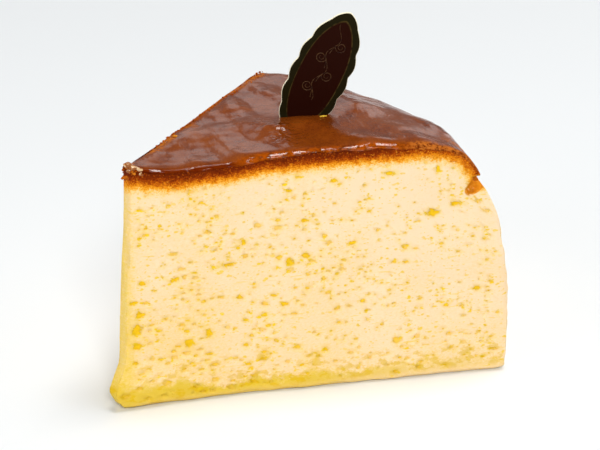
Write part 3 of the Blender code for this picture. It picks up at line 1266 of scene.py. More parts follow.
@dataclass(frozen=True)
class Tear:
    """An egg torn out of the corner of the near cut and the wall, with its turns in degrees."""

    out: float
    height: float
    halves: Triple
    turns: Triple
    roughness: float = 0.25 * MM
    ball_steps: int = 3
    fade: Pair = (1.1, 1.2)

    def middle(self, form: SliceForm) -> Vector:
        """The egg's middle, on the near cut."""
        share = form.shares_on_cut(np.array([self.out]), np.array([self.height]), 0.0)
        return Vector(form.surface(share[:, 0], np.zeros(1), share[:, 1])[0])

    def turned(self) -> Euler:
        """How the egg is turned."""
        return Euler([math.radians(turn) for turn in self.turns])

    def shaped(self, form: SliceForm) -> Matrix:
        """What turns a unit ball into the egg."""
        turned = self.turned().to_matrix().to_4x4()
        return Matrix.Translation(self.middle(form)) @ turned @ Matrix.Diagonal((*self.halves, 1.0))

    def shade(self, bench: Bench, form: SliceForm) -> Wire:
        """Where the torn surface shows in a material.

        Args:
            bench: the material's nodes.
            form: the slice's shape.

        Returns:
            1 in the egg, falling to 0 just outside it.
        """
        sockets = {
            "Vector": bench.place(),
            "Location": self.middle(form) * PER_MM,
            "Rotation": self.turned(),
            "Scale": Vector(self.halves) * PER_MM,
        }
        within = bench.node("ShaderNodeMapping", {"vector_type": "TEXTURE"}, sockets)
        away = bench.node("ShaderNodeVectorMath", {"operation": "LENGTH"}, {0: within}, "Value")
        return 1.0 - away.eased(*self.fade)

    def holds(self, form: SliceForm, points: np.ndarray, size: float = 1.0) -> np.ndarray:
        """Whether the egg, at this many times its size, holds each of the points."""
        away = self.shaped(form).inverted()
        return np.array([(away @ Vector(p)).length < size for p in points])

    def cutter(self, form: SliceForm) -> bmesh.types.BMesh:
        """The egg as a mesh that cuts.

        Args:
            form: the slice's shape.

        Returns:
            The mesh.
        """
        made = bmesh.new()
        swell(add_ball(made, self.shaped(form), self.ball_steps), self.roughness, 1.0)
        return made


NICK = Tear(82.6 * MM, 49.4 * MM, (1.6 * MM, 6.0 * MM, 0.8 * MM), (-24.0, 0.0, -17.0))
CORNER = Tear(81.2 * MM, 47.6 * MM, (2.6 * MM, 2.3 * MM, 1.4 * MM), (0.0, -38.0, 0.0))


def cut_out(mesh: bpy.types.Mesh, tools: Iterable[bmesh.types.BMesh]) -> bpy.types.Mesh:
    """Cuts tools out of a closed mesh.

    Args:
        mesh: the closed mesh.
        tools: the tools.

    Returns:
        The mesh without them.
    """
    body = add_object("uncut", mesh)
    cutters = []
    for tool in tools:
        cutters.append(add_object("cutter", kept_mesh("cutter", tool)))
        cut = body.modifiers.new("cut", "BOOLEAN")
        cut.object = cutters[-1]
        cut.operation = "DIFFERENCE"
        cut.solver = "EXACT"
    seen = body.evaluated_get(bpy.context.evaluated_depsgraph_get())
    result = bpy.data.meshes.new_from_object(seen)
    for item in (body, *cutters):
        bpy.data.objects.remove(item, do_unlink=True)
    return result


@dataclass
class CrumbBody:
    """The whole slice up to its browned skin, with open bubbles on both cuts.

    The rings of a bubble are its size there, its depth there and how gold it is. That gold is partly the
    crumb's own colour and partly painted light, and it is raised on the rim ring to cover the painted-over
    shade on the bubble's walls. The skin's depth is a curve over the distance from the tip.
    """

    form: SliceForm
    finish: CrumbFinish = CrumbFinish()
    near_field: BubbleField = BubbleField(seed=5, count=600, shown=(
        (71.3, 41.8, 3.3, 2.2), (76.7, 43.6, 3.1, 1.1), (82.4, 22.0, 1.9, 1.3), (75.1, 18.4, 1.7, 1.0),
        (72.2, 52.5, 1.1, 1.7), (61.1, 52.4, 2.8, 1.0), (52.6, 36.1, 2.3, 1.0), (48.3, 51.6, 1.8, 1.2),
        (41.7, 42.5, 2.1, 1.0), (38.3, 32.7, 2.2, 2.0), (38.1, 50.0, 1.8, 0.9), (37.1, 22.4, 2.1, 1.1),
        (27.8, 38.4, 1.4, 1.4), (24.4, 33.3, 3.6, 0.9), (20.0, 17.0, 1.6, 2.6), (15.9, 14.9, 2.2, 2.4),
        (12.8, 30.9, 2.2, 1.2), (6.1, 30.8, 1.8, 1.2), (4.4, 26.2, 2.0, 1.0), (5.8, 23.2, 2.2, 1.9),
        (5.1, 19.5, 2.7, 3.2), (5.4, 15.5, 2.0, 1.8),
    ))
    far_field: BubbleField = BubbleField(seed=8, count=480)
    pitch: float = 1.0 * MM
    edge_lines: tuple[float, ...] = (0.0, 0.25, 0.5, 0.75, 1.0)
    side_lines: tuple[float, ...] = (0.0, 0.33, 0.67, 1.0)
    jitter: float = 0.28
    still_steps: float = 2.0
    clearance: float = 0.25 * MM
    bubble_depth: float = 0.34
    rim_step: float = 0.3 * MM
    fewest_sides: int = 7
    few_sides: int = 8
    # each ring's third value, how gold it is, is partly painted light; the rim rings get gold so the
    # bubbles' walls show no shade
    wide_rings: tuple[Triple, ...] = ((1.0, 0.0, 0.4), (0.82, 0.5, 1.0), (0.45, 0.95, 1.0))
    small_rings: tuple[Triple, ...] = ((1.0, 0.0, 0.35), (0.7, 0.65, 1.0))
    rim_seeds_from: int = 100
    rim_size: float = 1.05
    raggedness: float = 0.26
    lobes: float = 0.47
    lobe_counts: tuple[int, int] = (2, 5)
    lobe_depths: Pair = (0.2, 1.0)
    rough_below: Pair = (0.76, 0.86)
    calm_border: float = 1.5 * MM
    same_place: float = 1e-6
    wall_rough: Wave = Wave(0.6 * MM, 2.4 * MM, 71.0)
    foot_rough: Wave = Wave(0.7 * MM, 2.0 * MM, 81.0)
    crumb_wave: Wave = Wave(0.12 * MM, 1.1 * MM, 13.0)
    skin_depth: Curve = Curve((
        (0.0, 5.4), (10.0, 5.0), (20.0, 4.6), (45.0, 4.5), (65.0, 4.6), (75.0, 4.7), (80.0, 5.2),
        (90.0, 5.4),
    ))

    def build(self, card: "FoilCard") -> bpy.types.Object:
        """Builds and dresses the crumb.

        Args:
            card: the card whose slot the crumb keeps open.

        Returns:
            The crumb.
        """
        mesh = self.skinless_mesh()
        top = self.top_tree(mesh)
        tools = [NICK.cutter(self.form), CORNER.cutter(self.form), card.slot()]
        mesh = cut_out(mesh, tools)
        points = point_positions(mesh)
        away = np.array([top.find_nearest(Vector(p))[3] for p in points])
        keep_field(mesh, "skin", away / self.skin_depth.at(self.form.out_of(points)))
        crumb = show("crumb", mesh, self.finish.material(self.form))
        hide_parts("cheesecake")
        return crumb

    def skinless_mesh(self) -> bpy.types.Mesh:
        """The slice as one closed mesh, before anything is cut out of it.

        Returns:
            The mesh, with the fields hole and top.
        """
        form = self.form
        fine = [form.top_edge * share for share in self.edge_lines]
        side = [form.side_edge * share for share in self.side_lines]
        foot = [form.base_edge * share for share in self.edge_lines]
        out_lines = lines(form.shoulder, self.pitch, side, side)
        turn_lines = lines(form.shoulder * form.wedge, self.pitch, side, side)
        up_lines = lines(form.near_top.points[0][1] * MM, self.pitch, foot, fine)
        grid = (out_lines, turn_lines, up_lines)
        counts = [len(stops) for stops in grid]
        piece = Piece()
        index = np.array([
            (i, j, k)
            for i in range(counts[0])
            for j in range(counts[1])
            for k in range(counts[2])
            if i in (0, counts[0] - 1) or k in (0, counts[2] - 1)
        ])
        shares = np.stack([grid[axis][index[:, axis]] for axis in range(3)], axis=1)
        piece.add(self.roughened(form.surface(*shares.T), shares))
        number = {tuple(row): n for n, row in enumerate(index.tolist())}
        for axis, other in ((0, 2), (2, 0)):
            for end in (0, counts[axis] - 1):
                for a in range(counts[1] - 1):
                    for b in range(counts[other] - 1):
                        ring = []
                        for da, db in ((0, 0), (1, 0), (1, 1), (0, 1)):
                            key = [0, a + da, 0]
                            key[axis], key[other] = end, b + db
                            ring.append(number[tuple(key)])
                        piece.faces.append(tuple(ring))
        holes = [np.zeros(len(index))]
        for turn, end, field in ((0.0, 0, self.near_field), (1.0, counts[1] - 1, self.far_field)):
            holes.append(self.add_cut(piece, turn, end, field, grid, number))
        mesh = piece.mesh("crumb")
        keep_field(mesh, "hole", np.concatenate(holes))
        on_top = np.zeros(piece.count)
        on_top[: len(index)] = index[:, 2] == counts[2] - 1
        keep_field(mesh, "top", on_top)
        return mesh

    def roughened(self, points: np.ndarray, shares: np.ndarray) -> np.ndarray:
        """Roughens the wall and the tip below the skin, and the edge of the base.

        Args:
            points: points of the surface.
            shares: their shares outwards, round and up.

        Returns:
            The moved points.
        """
        ray = (points - np.array(self.form.tip_place)) * (1.0, 1.0, 0.0)
        ray /= np.linalg.norm(ray, axis=1)[:, None]
        ends = np.isin(shares[:, 0], (0.0, 1.0))
        below_skin = 1.0 - eased(*self.rough_below, shares[:, 2])
        rough = self.wall_rough.at(points) * ends * below_skin
        foot = (shares[:, 2] == 0.0) & (ends | np.isin(shares[:, 1], (0.0, 1.0)))
        lift = np.maximum(0.0, self.foot_rough.at(points)) * foot
        return points + ray * rough[:, None] + np.outer(lift, (0.0, 0.0, 1.0))

    def add_cut(
        self,
        piece: Piece,
        turn: float,
        end: int,
        field: BubbleField,
        grid: tuple[np.ndarray, np.ndarray, np.ndarray],
        number: dict[tuple[int, int, int], int],
    ) -> np.ndarray:
        """Adds a cut: a net of triangles through its border, its inner points and its bubbles.

        Args:
            piece: the mesh to add to.
            turn: 0 for the near cut and 1 for the far cut.
            end: the cut's number among the grid's lines round the wedge.
            field: the rule for the cut's bubbles.
            grid: the lines outwards, round and up.
            number: the numbers of the border's points.

        Returns:
            How deep in a hole each new point is, from 0 to 1.
        """
        out_lines, _, up_lines = grid
        size = np.array((self.form.shoulder, self.form.near_top.points[0][1] * MM))
        last = (len(out_lines) - 1, len(up_lines) - 1)
        border = [
            (i, k)
            for i in range(last[0] + 1)
            for k in range(last[1] + 1)
            if i in (0, last[0]) or k in (0, last[1])
        ]
        numbers = [number[(i, end, k)] for i, k in border]
        flat = [np.array([(out_lines[i], up_lines[k]) for i, k in border])]
        bubbles = field.bubbles(self.form)
        inner = self.inner_points(out_lines, up_lines, turn, bubbles, field.seed)
        rings, depths, tones = self.bubble_points(bubbles, turn, field.seed)
        shares = np.concatenate([inner, rings])
        depth = np.concatenate([np.zeros(len(inner)), depths])
        tone = np.concatenate([np.zeros(len(inner)), tones])
        turns = np.full(len(shares), turn)
        points = self.form.surface(shares[:, 0], turns, shares[:, 1])
        ray = np.zeros_like(points)
        inward = self.form.inward(Face.NEAR if turn == 0.0 else Face.FAR, ray)
        rough = self.crumb_wave.at(points) * self.away_from_border(shares, size)
        points = points + inward * (depth + rough)[:, None]
        first = piece.add(points)
        numbers += range(first, piece.count)
        flat.append(shares)
        spread = np.concatenate(flat) * size * PER_MM
        net = delaunay_2d_cdt([Vector(p) for p in spread], [], [], 0, self.same_place)
        source = [numbers[found[0]] for found in net[3]]
        piece.faces += [tuple(source[v] for v in face) for face in net[2]]
        return tone

    def away_from_border(self, shares: np.ndarray, size: np.ndarray) -> np.ndarray:
        """0 at a cut's border, rising to 1 a little way in."""
        near = np.minimum(shares, 1.0 - shares) * size
        return eased(0.0, self.calm_border, near.min(axis=1))

    def inner_points(
        self,
        out_lines: np.ndarray,
        up_lines: np.ndarray,
        turn: float,
        bubbles: Sequence[Bubble],
        seed: int,
    ) -> np.ndarray:
        """The plain points of a cut, jittered off their lines and clear of the bubbles.

        Args:
            out_lines: the lines outwards, in shares.
            up_lines: the lines up, in shares.
            turn: 0 for the near cut and 1 for the far cut.
            bubbles: the cut's bubbles.
            seed: the seed of the jitter.

        Returns:
            Their shares outwards and upwards.
        """
        form = self.form
        draw = np.random.default_rng(seed)
        shares = np.array([(u, w) for u in out_lines[1:-1] for w in up_lines[1:-1]])
        steps = np.array((np.diff(out_lines).max(), np.diff(up_lines).max()))
        free = (np.minimum(shares, 1.0 - shares) > self.still_steps * steps).all(axis=1)
        shares += draw.uniform(-self.jitter, self.jitter, shares.shape) * steps * free[:, None]
        turns = np.full(len(shares), turn)
        height = shares[:, 1] * form.top_height(form.nominal(shares[:, 0]), turns)
        out = form.bluntness + shares[:, 0] * (form.wall_radius(height, turns) - form.bluntness)
        clear = np.ones(len(out), dtype=bool)
        for b in bubbles:
            across = (out - b.out) / (b.width / 2 + self.clearance)
            upward = (height - b.height) / (b.tall / 2 + self.clearance)
            clear &= np.hypot(across, upward) > 1.0
        return shares[clear]

    def bubble_points(
        self, bubbles: Sequence[Bubble], turn: float, seed: int
    ) -> tuple[np.ndarray, np.ndarray, np.ndarray]:
        """The points of all bubbles: a ragged rim, one or two rings inside it and a middle.

        Args:
            bubbles: the cut's bubbles.
            turn: 0 for the near cut and 1 for the far cut.
            seed: the seed of their ragged rims.

        Returns:
            The points' shares, their depths and their tones.
        """
        draw = np.random.default_rng(seed + self.rim_seeds_from)
        out, height, depth, tone = [], [], [], []
        for b in bubbles:
            around = math.pi * (b.width + b.tall) / 2
            count = max(self.fewest_sides, round(around / self.rim_step))
            angles = 2 * math.pi * np.arange(count) / count + draw.uniform(0, math.pi)
            ragged = self.rim_size + self.raggedness * draw.uniform(-1.0, 1.0, count)
            lobes = np.sin(draw.integers(*self.lobe_counts) * angles + draw.uniform(0, math.tau))
            ragged -= self.lobes * draw.uniform(*self.lobe_depths) * (1.0 + lobes) / 2
            deep = self.bubble_depth * math.sqrt(b.width * b.tall)
            # gold: partly the crumb's own colour, partly painted light that covers the shade in the bubble
            for size, down, gold in self.wide_rings if count > self.few_sides else self.small_rings:
                out.append(b.out + b.width / 2 * size * ragged * np.cos(angles))
                height.append(b.height + b.tall / 2 * size * ragged * np.sin(angles))
                depth.append(np.full(count, deep * down))
                tone.append(np.full(count, b.tone * gold))
            out.append(np.array([b.out]))
            height.append(np.array([b.height]))
            depth.append(np.array([deep]))
            tone.append(np.array([b.tone]))
        shares = self.form.shares_on_cut(np.concatenate(out), np.concatenate(height), turn)
        return shares, np.concatenate(depth), np.concatenate(tone)

    def top_tree(self, mesh: bpy.types.Mesh) -> BVHTree:
        """A search tree of the faces of the top.

        Args:
            mesh: the closed mesh, with its field top.

        Returns:
            The tree.
        """
        on_top = np.empty(len(mesh.vertices), dtype=np.float32)
        mesh.attributes["top"].data.foreach_get("value", on_top)
        faces = [tuple(f.vertices) for f in mesh.polygons if all(on_top[v] > MIDDLE for v in f.vertices)]
        return BVHTree.FromPolygons([v.co for v in mesh.vertices], faces)


@dataclass
class GlazeLayer:
    """The glossy layer over the browned top, rolled over its edges as a bead."""

    form: SliceForm
    finish: GlazeFinish = GlazeFinish()
    thickness: float = 0.32 * MM
    thin_from: float = 70.0 * MM
    thin_share: float = 0.25
    dip: float = 0.22 * MM
    dip_reach: float = 3.2 * MM
    sunk: float = 0.2 * MM
    pitch: float = 0.62 * MM
    edge_lines: tuple[float, ...] = (0.0, 0.2, 0.4, 0.6, 0.8, 1.0)
    skirt_steps: int = 7
    skirt_reach: float = 0.6 * MM
    skirt_least: float = 0.35 * MM
    skirt_wave: Wave = Wave(0.6 * MM, 3.0 * MM, 31.0)
    ripple: Wave = Wave(1.7 * MM, 8.5 * MM, 41.0)
    ripple_stretch: Pair = (1.0, 0.45)
    ripple_turn: float = math.radians(15.0)
    wrinkle: Wave = Wave(0.14 * MM, 2.4 * MM, 51.0)
    deepest: float = 0.22 * MM
    dome_place: Pair = (20.0 * MM, -32.0 * MM)
    dome_reach: Pair = (10.0 * MM, 8.0 * MM)
    dome_height: float = 0.6 * MM
    crumple: Wave = Wave(1.1 * MM, 2.4 * MM, 71.0)
    crumple_place: Pair = (-4.0 * MM, -23.0 * MM)
    crumple_reach: Pair = (4.0 * MM, 7.0 * MM)
    calm_edge: float = 5.0 * MM
    amber_reach: Pair = (0.2 * MM, 2.6 * MM)
    amber_from: float = 24.0 * MM
    amber_to: float = 62.0 * MM
    amber_fade: float = 7.0 * MM
    amber_least: float = 0.15
    bead_reach: float = 1.5 * MM
    roll_reach: Pair = (0.9 * MM, 1.5 * MM)
    nick_size: float = 1.25
    crust_reach: float = 2.4 * MM
    near_crust: Pair = (0.72 * MM, 2.4 * MM)
    wall_crust: float = 0.4
    crust_wave: Wave = Wave(3.6 * MM, 7.0 * MM, 61.0)

    def build(self) -> bpy.types.Object:
        """Builds and dresses the glaze.

        Returns:
            The glaze.
        """
        points, normals, beside, fallen, faces = self.sheet()
        out = self.form.out_of(points)
        thick = self.thickness * np.sqrt(1.0 - fallen**3)
        thick *= 1.0 - (1.0 - self.thin_share) * eased(self.thin_from, self.form.shoulder, out)
        piece = Piece()
        piece.add(points + normals * thick[:, None])
        under = piece.add(points - normals * self.sunk)
        piece.faces = faces + [tuple(under + n for n in reversed(face)) for face in faces]
        edges = {pair for face in faces for pair in zip(face, (*face[1:], face[0]))}
        open_edges = sorted(pair for pair in edges if pair[::-1] not in edges)
        piece.faces += [(b, a, under + a, under + b) for a, b in open_edges]
        mesh = piece.mesh("glaze")
        for name, values in self.fields(points, beside).items():
            keep_field(mesh, name, np.tile(values, 2))
        return show("glaze", mesh, self.finish.material())

    def sheet(self) -> tuple[np.ndarray, np.ndarray, np.ndarray, np.ndarray, list[tuple[int, ...]]]:
        """The sheet that the glaze is thickened from: the top and the skirt round it, less the nick.

        Returns:
            Its points, the outward directions there, how far they are from the top's nearest edge, how far
            down the skirt they are, from 0 to 1, and the faces.
        """
        form = self.form
        edge = [form.top_edge * share for share in self.edge_lines]
        out_lines = lines(form.shoulder, self.pitch, edge, edge)
        turn_lines = lines(form.shoulder * form.wedge, self.pitch, edge, edge)
        wide, deep = len(out_lines), len(turn_lines)
        u, v = [part.ravel() for part in np.meshgrid(out_lines, turn_lines, indexing="ij")]
        top = form.surface(u, v, np.ones(wide * deep))
        inset = self.edge_distance(u, v)
        top[:, 2] += self.ripples(top) * eased(0.0, self.calm_edge, inset)
        top[:, 2] -= self.dip * (1.0 - eased(0.0, self.dip_reach, inset))
        ring = self.border(wide, deep)
        points = np.concatenate([top, *self.skirt(u[ring], v[ring])])
        faces = [
            (i * deep + j, (i + 1) * deep + j, (i + 1) * deep + j + 1, i * deep + j + 1)
            for i in range(wide - 1)
            for j in range(deep - 1)
        ]
        rows = [np.array(ring)]
        rows += [np.arange(len(ring)) + len(top) + n * len(ring) for n in range(self.skirt_steps)]
        for upper, lower in zip(rows, rows[1:]):
            faces += band(upper, lower)
        normals = self.point_normals(points, faces)
        beside = np.concatenate([inset, np.zeros(len(points) - len(top))])
        steps = np.repeat(np.arange(1, self.skirt_steps + 1), len(ring))
        fallen = np.concatenate([np.zeros(len(top)), steps / self.skirt_steps])
        whole = np.array(faces)
        whole = whole[~NICK.holds(form, points[whole].mean(axis=1), self.nick_size)]
        used, kept = np.unique(whole, return_inverse=True)
        faces = [tuple(face) for face in kept.reshape(-1, 4).tolist()]
        return points[used], normals[used], beside[used], fallen[used], faces

    def fields(self, points: np.ndarray, beside: np.ndarray) -> dict[str, np.ndarray]:
        """What the glaze's material reads at each point, from 0 to 1.

        Args:
            points: the sheet's points.
            beside: how far they are from the top's nearest edge.

        Returns:
            The amber rim, the rough crust, the crumple, the dark bead and the wet roll of the edge.
        """
        form = self.form
        out = form.out_of(points)
        past_amber = eased(self.amber_to, self.amber_to + self.amber_fade, out)
        window = eased(self.amber_from, self.amber_from + self.amber_fade, out) * (1.0 - past_amber)
        rim = (1.0 - eased(*self.amber_reach, beside)) * (self.amber_least + window)
        turned = np.arctan2(points[:, 1] - form.tip_place[1], points[:, 0] - form.tip_place[0])
        from_far = out * np.maximum(0.0, form.wedge - turned)
        from_wall = self.wall_crust * np.maximum(0.0, form.shoulder - out)
        from_crust = np.minimum(from_far, from_wall) + self.crust_wave.at(points)
        crust = 1.0 - eased(0.0, self.crust_reach, from_crust)
        return {
            "rim": np.clip(rim, 0.0, 1.0),
            "crust": np.maximum(crust, (1.0 - eased(*self.near_crust, beside)) * past_amber),
            "crumple": self.hump(points, self.crumple_place, self.crumple_reach),
            "bead": (1.0 - eased(0.0, self.bead_reach, beside)) * (1.0 - np.clip(window, 0.0, 1.0)),
            "roll": 1.0 - eased(*self.roll_reach, beside),
        }

    def edge_distance(self, out_share: np.ndarray, turn: np.ndarray) -> np.ndarray:
        """Distances of the top's points from its nearest edge.

        Args:
            out_share: shares of the way from the tip to the wall.
            turn: shares of the wedge's angle.

        Returns:
            The distances.
        """
        form = self.form
        out = form.nominal(out_share)
        angle = turn * form.wedge
        sides = [out * angle, out * (form.wedge - angle), out - form.bluntness, form.shoulder - out]
        return np.minimum.reduce(sides)

    def ripples(self, points: np.ndarray) -> np.ndarray:
        """Heights of the glaze's long ripples and fine wrinkles at each point.

        Args:
            points: points of the top.

        Returns:
            The heights.
        """
        across = np.array((math.cos(self.ripple_turn), math.sin(self.ripple_turn), 0.0))
        along = np.array((-math.sin(self.ripple_turn), math.cos(self.ripple_turn), 0.0))
        turned = np.stack([
            points @ across * self.ripple_stretch[0],
            points @ along * self.ripple_stretch[1],
            np.zeros(len(points)),
        ], axis=1)
        height = self.ripple.at(turned) + self.wrinkle.at(points)
        height += self.dome_height * self.hump(points, self.dome_place, self.dome_reach)
        height += self.crumple.at(points) * self.hump(points, self.crumple_place, self.crumple_reach)
        above = height + self.deepest
        return (above + np.sqrt(above**2 + self.deepest**2)) / 2 - self.deepest

    def hump(self, points: np.ndarray, place: Pair, reach: Pair) -> np.ndarray:
        """A smooth hill from above.

        Args:
            points: where it is read.
            place: its middle.
            reach: how far it reaches along x and y.

        Returns:
            1 at its middle, falling to 0.
        """
        away = (points[:, :2] - np.array(place)) / np.array(reach)
        return np.exp(-(away**2).sum(axis=1))

    def border(self, wide: int, deep: int) -> list[int]:
        """The numbers of the top's border points, in order round it.

        Args:
            wide: how many points the top has outwards.
            deep: how many it has round.

        Returns:
            The numbers.
        """
        near = [i * deep for i in range(wide)]
        wall = [(wide - 1) * deep + j for j in range(1, deep)]
        far = [i * deep + deep - 1 for i in range(wide - 2, -1, -1)]
        tip = list(range(deep - 2, 0, -1))
        return near + wall + far + tip

    def skirt(self, out_share: np.ndarray, turn: np.ndarray) -> list[np.ndarray]:
        """Rows of points down the sides, where the glaze has rolled over the edge.

        Args:
            out_share: shares outwards of the border's points.
            turn: their shares of the wedge's angle.

        Returns:
            One array of points for each row.
        """
        form = self.form
        top = form.top_height(form.nominal(out_share), turn)
        edge = form.surface(out_share, turn, np.ones(len(turn)))
        reach = np.maximum(self.skirt_least, self.skirt_reach + self.skirt_wave.at(edge))
        shares = [n / self.skirt_steps for n in range(1, self.skirt_steps + 1)]
        return [form.surface(out_share, turn, 1.0 - share * reach / top) for share in shares]

    def point_normals(self, points: np.ndarray, faces: Sequence[tuple[int, ...]]) -> np.ndarray:
        """Outward directions at the points of a sheet of four-sided faces.

        Args:
            points: the sheet's points.
            faces: its faces.

        Returns:
            One direction for each point.
        """
        ring = np.array(faces)
        corners = [points[ring[:, n]] for n in range(4)]
        face_normals = np.cross(corners[2] - corners[0], corners[3] - corners[1])
        normals = np.zeros_like(points)
        for corner in range(4):
            np.add.at(normals, ring[:, corner], face_normals)
        return normals / np.linalg.norm(normals, axis=1)[:, None]


@dataclass(frozen=True)
class Bit:
    """A single crumb where the photograph shows one, with its half sizes and its tone."""

    place: Triple
    halves: Triple
    tone: float


@dataclass
class CrustCrumbs:
    """Loose crumbs stuck to the browned edge of the cuts, the wall and the tip, and a few single bits."""

    form: SliceForm
    finish: GrainFinish = GrainFinish()
    seed: int = 77
    count: int = 620
    size: Pair = (0.10 * MM, 0.26 * MM)
    turns: tuple[float, ...] = (0.0, 0.0, 0.0, 1.0)
    highest: float = 0.35 * MM
    deepest: float = 2.6 * MM
    gathered: float = 1.3
    lip_count: int = 150
    lip_size: Pair = (0.14 * MM, 0.36 * MM)
    lip_tone: float = 0.25
    on_wall: float = 0.45
    wall_turn: float = 0.4
    wall_down: Pair = (-0.3 * MM, 1.3 * MM)
    far_out: Pair = (0.15, 0.98)
    far_inside: float = 0.04
    far_raised: float = 0.3 * MM
    tip_count: int = 14
    tip_size: Pair = (0.3 * MM, 0.6 * MM)
    tip_out: float = 0.03
    tip_down: float = 1.4 * MM
    nick_size: float = 1.7
    flatness: Pair = (0.6, 1.0)
    lumpiness: float = 0.35
    tone_spread: float = 0.25
    tone_deeper: float = 0.4
    tone_out: float = 0.35
    tone_out_from: Pair = (6.0 * MM, 26.0 * MM)
    tone_most: float = 0.75
    bit_depth: float = 0.3 * MM
    bit_waves: float = 2.0
    bits: tuple[Bit, ...] = (
        Bit((-41.9 * MM, -35.7 * MM, 56.1 * MM), (0.8 * MM, 0.4 * MM, 0.4 * MM), 0.5),
        Bit((7.0 * MM, -14.4 * MM, 58.9 * MM), (0.9 * MM, 0.35 * MM, 0.3 * MM), 1.0),
        Bit((-28.0 * MM, -17.0 * MM, 57.6 * MM), (0.5 * MM, 0.4 * MM, 0.3 * MM), 0.8),
    )

    def build(self) -> bpy.types.Object:
        """Builds and dresses the crumbs as one mesh.

        Returns:
            The crumbs.
        """
        draw = random.Random(self.seed)
        out_share, turn, down, size = np.array(self.rows(draw)).T
        up_share = 1.0 - down / self.form.top_height(self.form.nominal(out_share), turn)
        places = self.form.surface(out_share, turn, up_share)
        base_tone = np.where(np.arange(len(places)) < self.count, 0.0, self.lip_tone)
        clear = ~NICK.holds(self.form, places, self.nick_size)
        made = bmesh.new()
        tones = []
        for place, radius, depth, base in zip(places[clear], size[clear], down[clear], base_tone[clear]):
            turned = Matrix.Rotation(draw.uniform(0, math.tau), 4, (draw.random(), draw.random(), 1.0))
            flat = [draw.uniform(*self.flatness) for _ in range(2)]
            shape = Matrix.Diagonal((radius, radius * flat[0], radius * flat[1], 1.0))
            verts = add_ball(made, Matrix.Translation(place) @ turned @ shape, 1)
            middle = Vector(place)
            for vert in verts:
                vert.co += (vert.co - middle) * self.lumpiness * draw.uniform(-1.0, 1.0)
            tone = base + draw.uniform(0.0, self.tone_spread)
            tone += max(0.0, depth) / self.deepest * self.tone_deeper
            tone += self.tone_out * float(eased(*self.tone_out_from, place[0]))
            tones += [min(self.tone_most, tone)] * len(verts)
        for bit in self.bits:
            verts = add_ball(made, Matrix.Translation(bit.place) @ Matrix.Diagonal((*bit.halves, 1.0)), 2)
            swell(verts, self.bit_depth, self.bit_waves)
            tones += [bit.tone] * len(verts)
        mesh = kept_mesh("crust_crumbs", made)
        keep_field(mesh, "tone", np.array(tones))
        return show("crust_crumbs", mesh, self.finish.material())

    def rows(self, draw: random.Random) -> list[tuple[float, float, float, float]]:
        """Draws where the crumbs lie: on the cuts, then on the lip of the wall and far cut, then at the tip.

        Args:
            draw: the source of the draws.

        Returns:
            For each crumb its share outwards, its share round, how far down it lies and its size.
        """
        rows = []
        for _ in range(self.count):
            turn = draw.choice(self.turns)
            down = self.highest + self.deepest * draw.random() ** self.gathered
            size = draw.uniform(*self.size)
            rows.append((draw.random(), turn, down, size))
        for _ in range(self.lip_count):
            along_wall = draw.random() < self.on_wall
            wall = (1.0, self.wall_turn * draw.random() ** 2, draw.uniform(*self.wall_down))
            far = (draw.uniform(*self.far_out), 1.0 - self.far_inside * draw.random() ** 2, -self.far_raised)
            rows.append((*(wall if along_wall else far), draw.uniform(*self.lip_size)))
        for _ in range(self.tip_count):
            down = draw.uniform(0.0, self.tip_down)
            out_share = draw.uniform(0.0, self.tip_out)
            turn = draw.choice((0.0, 1.0))
            rows.append((out_share, turn, down, draw.uniform(*self.tip_size)))
        return rows


@dataclass
class GlazeDrops:
    """The clump of glassy drops of glaze on the top of the tip."""

    form: SliceForm
    finish: DropFinish = DropFinish()
    seed: int = 12
    count: int = 10
    box: tuple[Pair, ...] = ((2.7 * MM, 5.4 * MM), (0.0, 1.2 * MM), (-1.4 * MM, 0.2 * MM))
    sizes: Pair = (0.55 * MM, 0.95 * MM)
    shape: Triple = (1.2, 0.7, 0.7)
    most_tilt: float = 0.6
    ball_steps: int = 3
    unevenness: float = 0.22 * MM
    waves: float = 1.5

    def build(self) -> bpy.types.Object:
        """Builds and dresses the drops as one mesh.

        Returns:
            The drops.
        """
        draw = random.Random(self.seed)
        made = bmesh.new()
        for _ in range(self.count):
            out, across, rise = [draw.uniform(*span) for span in self.box]
            top = self.form.near_top.at(np.array([out]))[0]
            place = Vector(self.form.tip_place) + Vector((out, across, top + rise))
            radius = draw.uniform(*self.sizes)
            turned = Matrix.Rotation(draw.uniform(-self.most_tilt, self.most_tilt), 4, "Y")
            shape = Matrix.Diagonal((*(radius * share for share in self.shape), 1.0))
            verts = add_ball(made, Matrix.Translation(place) @ turned @ shape, self.ball_steps)
            swell(verts, self.unevenness, self.waves)
        mesh = kept_mesh("glaze_drops", made)
        mesh.shade_smooth()
        return show("glaze_drops", mesh, self.finish.material())


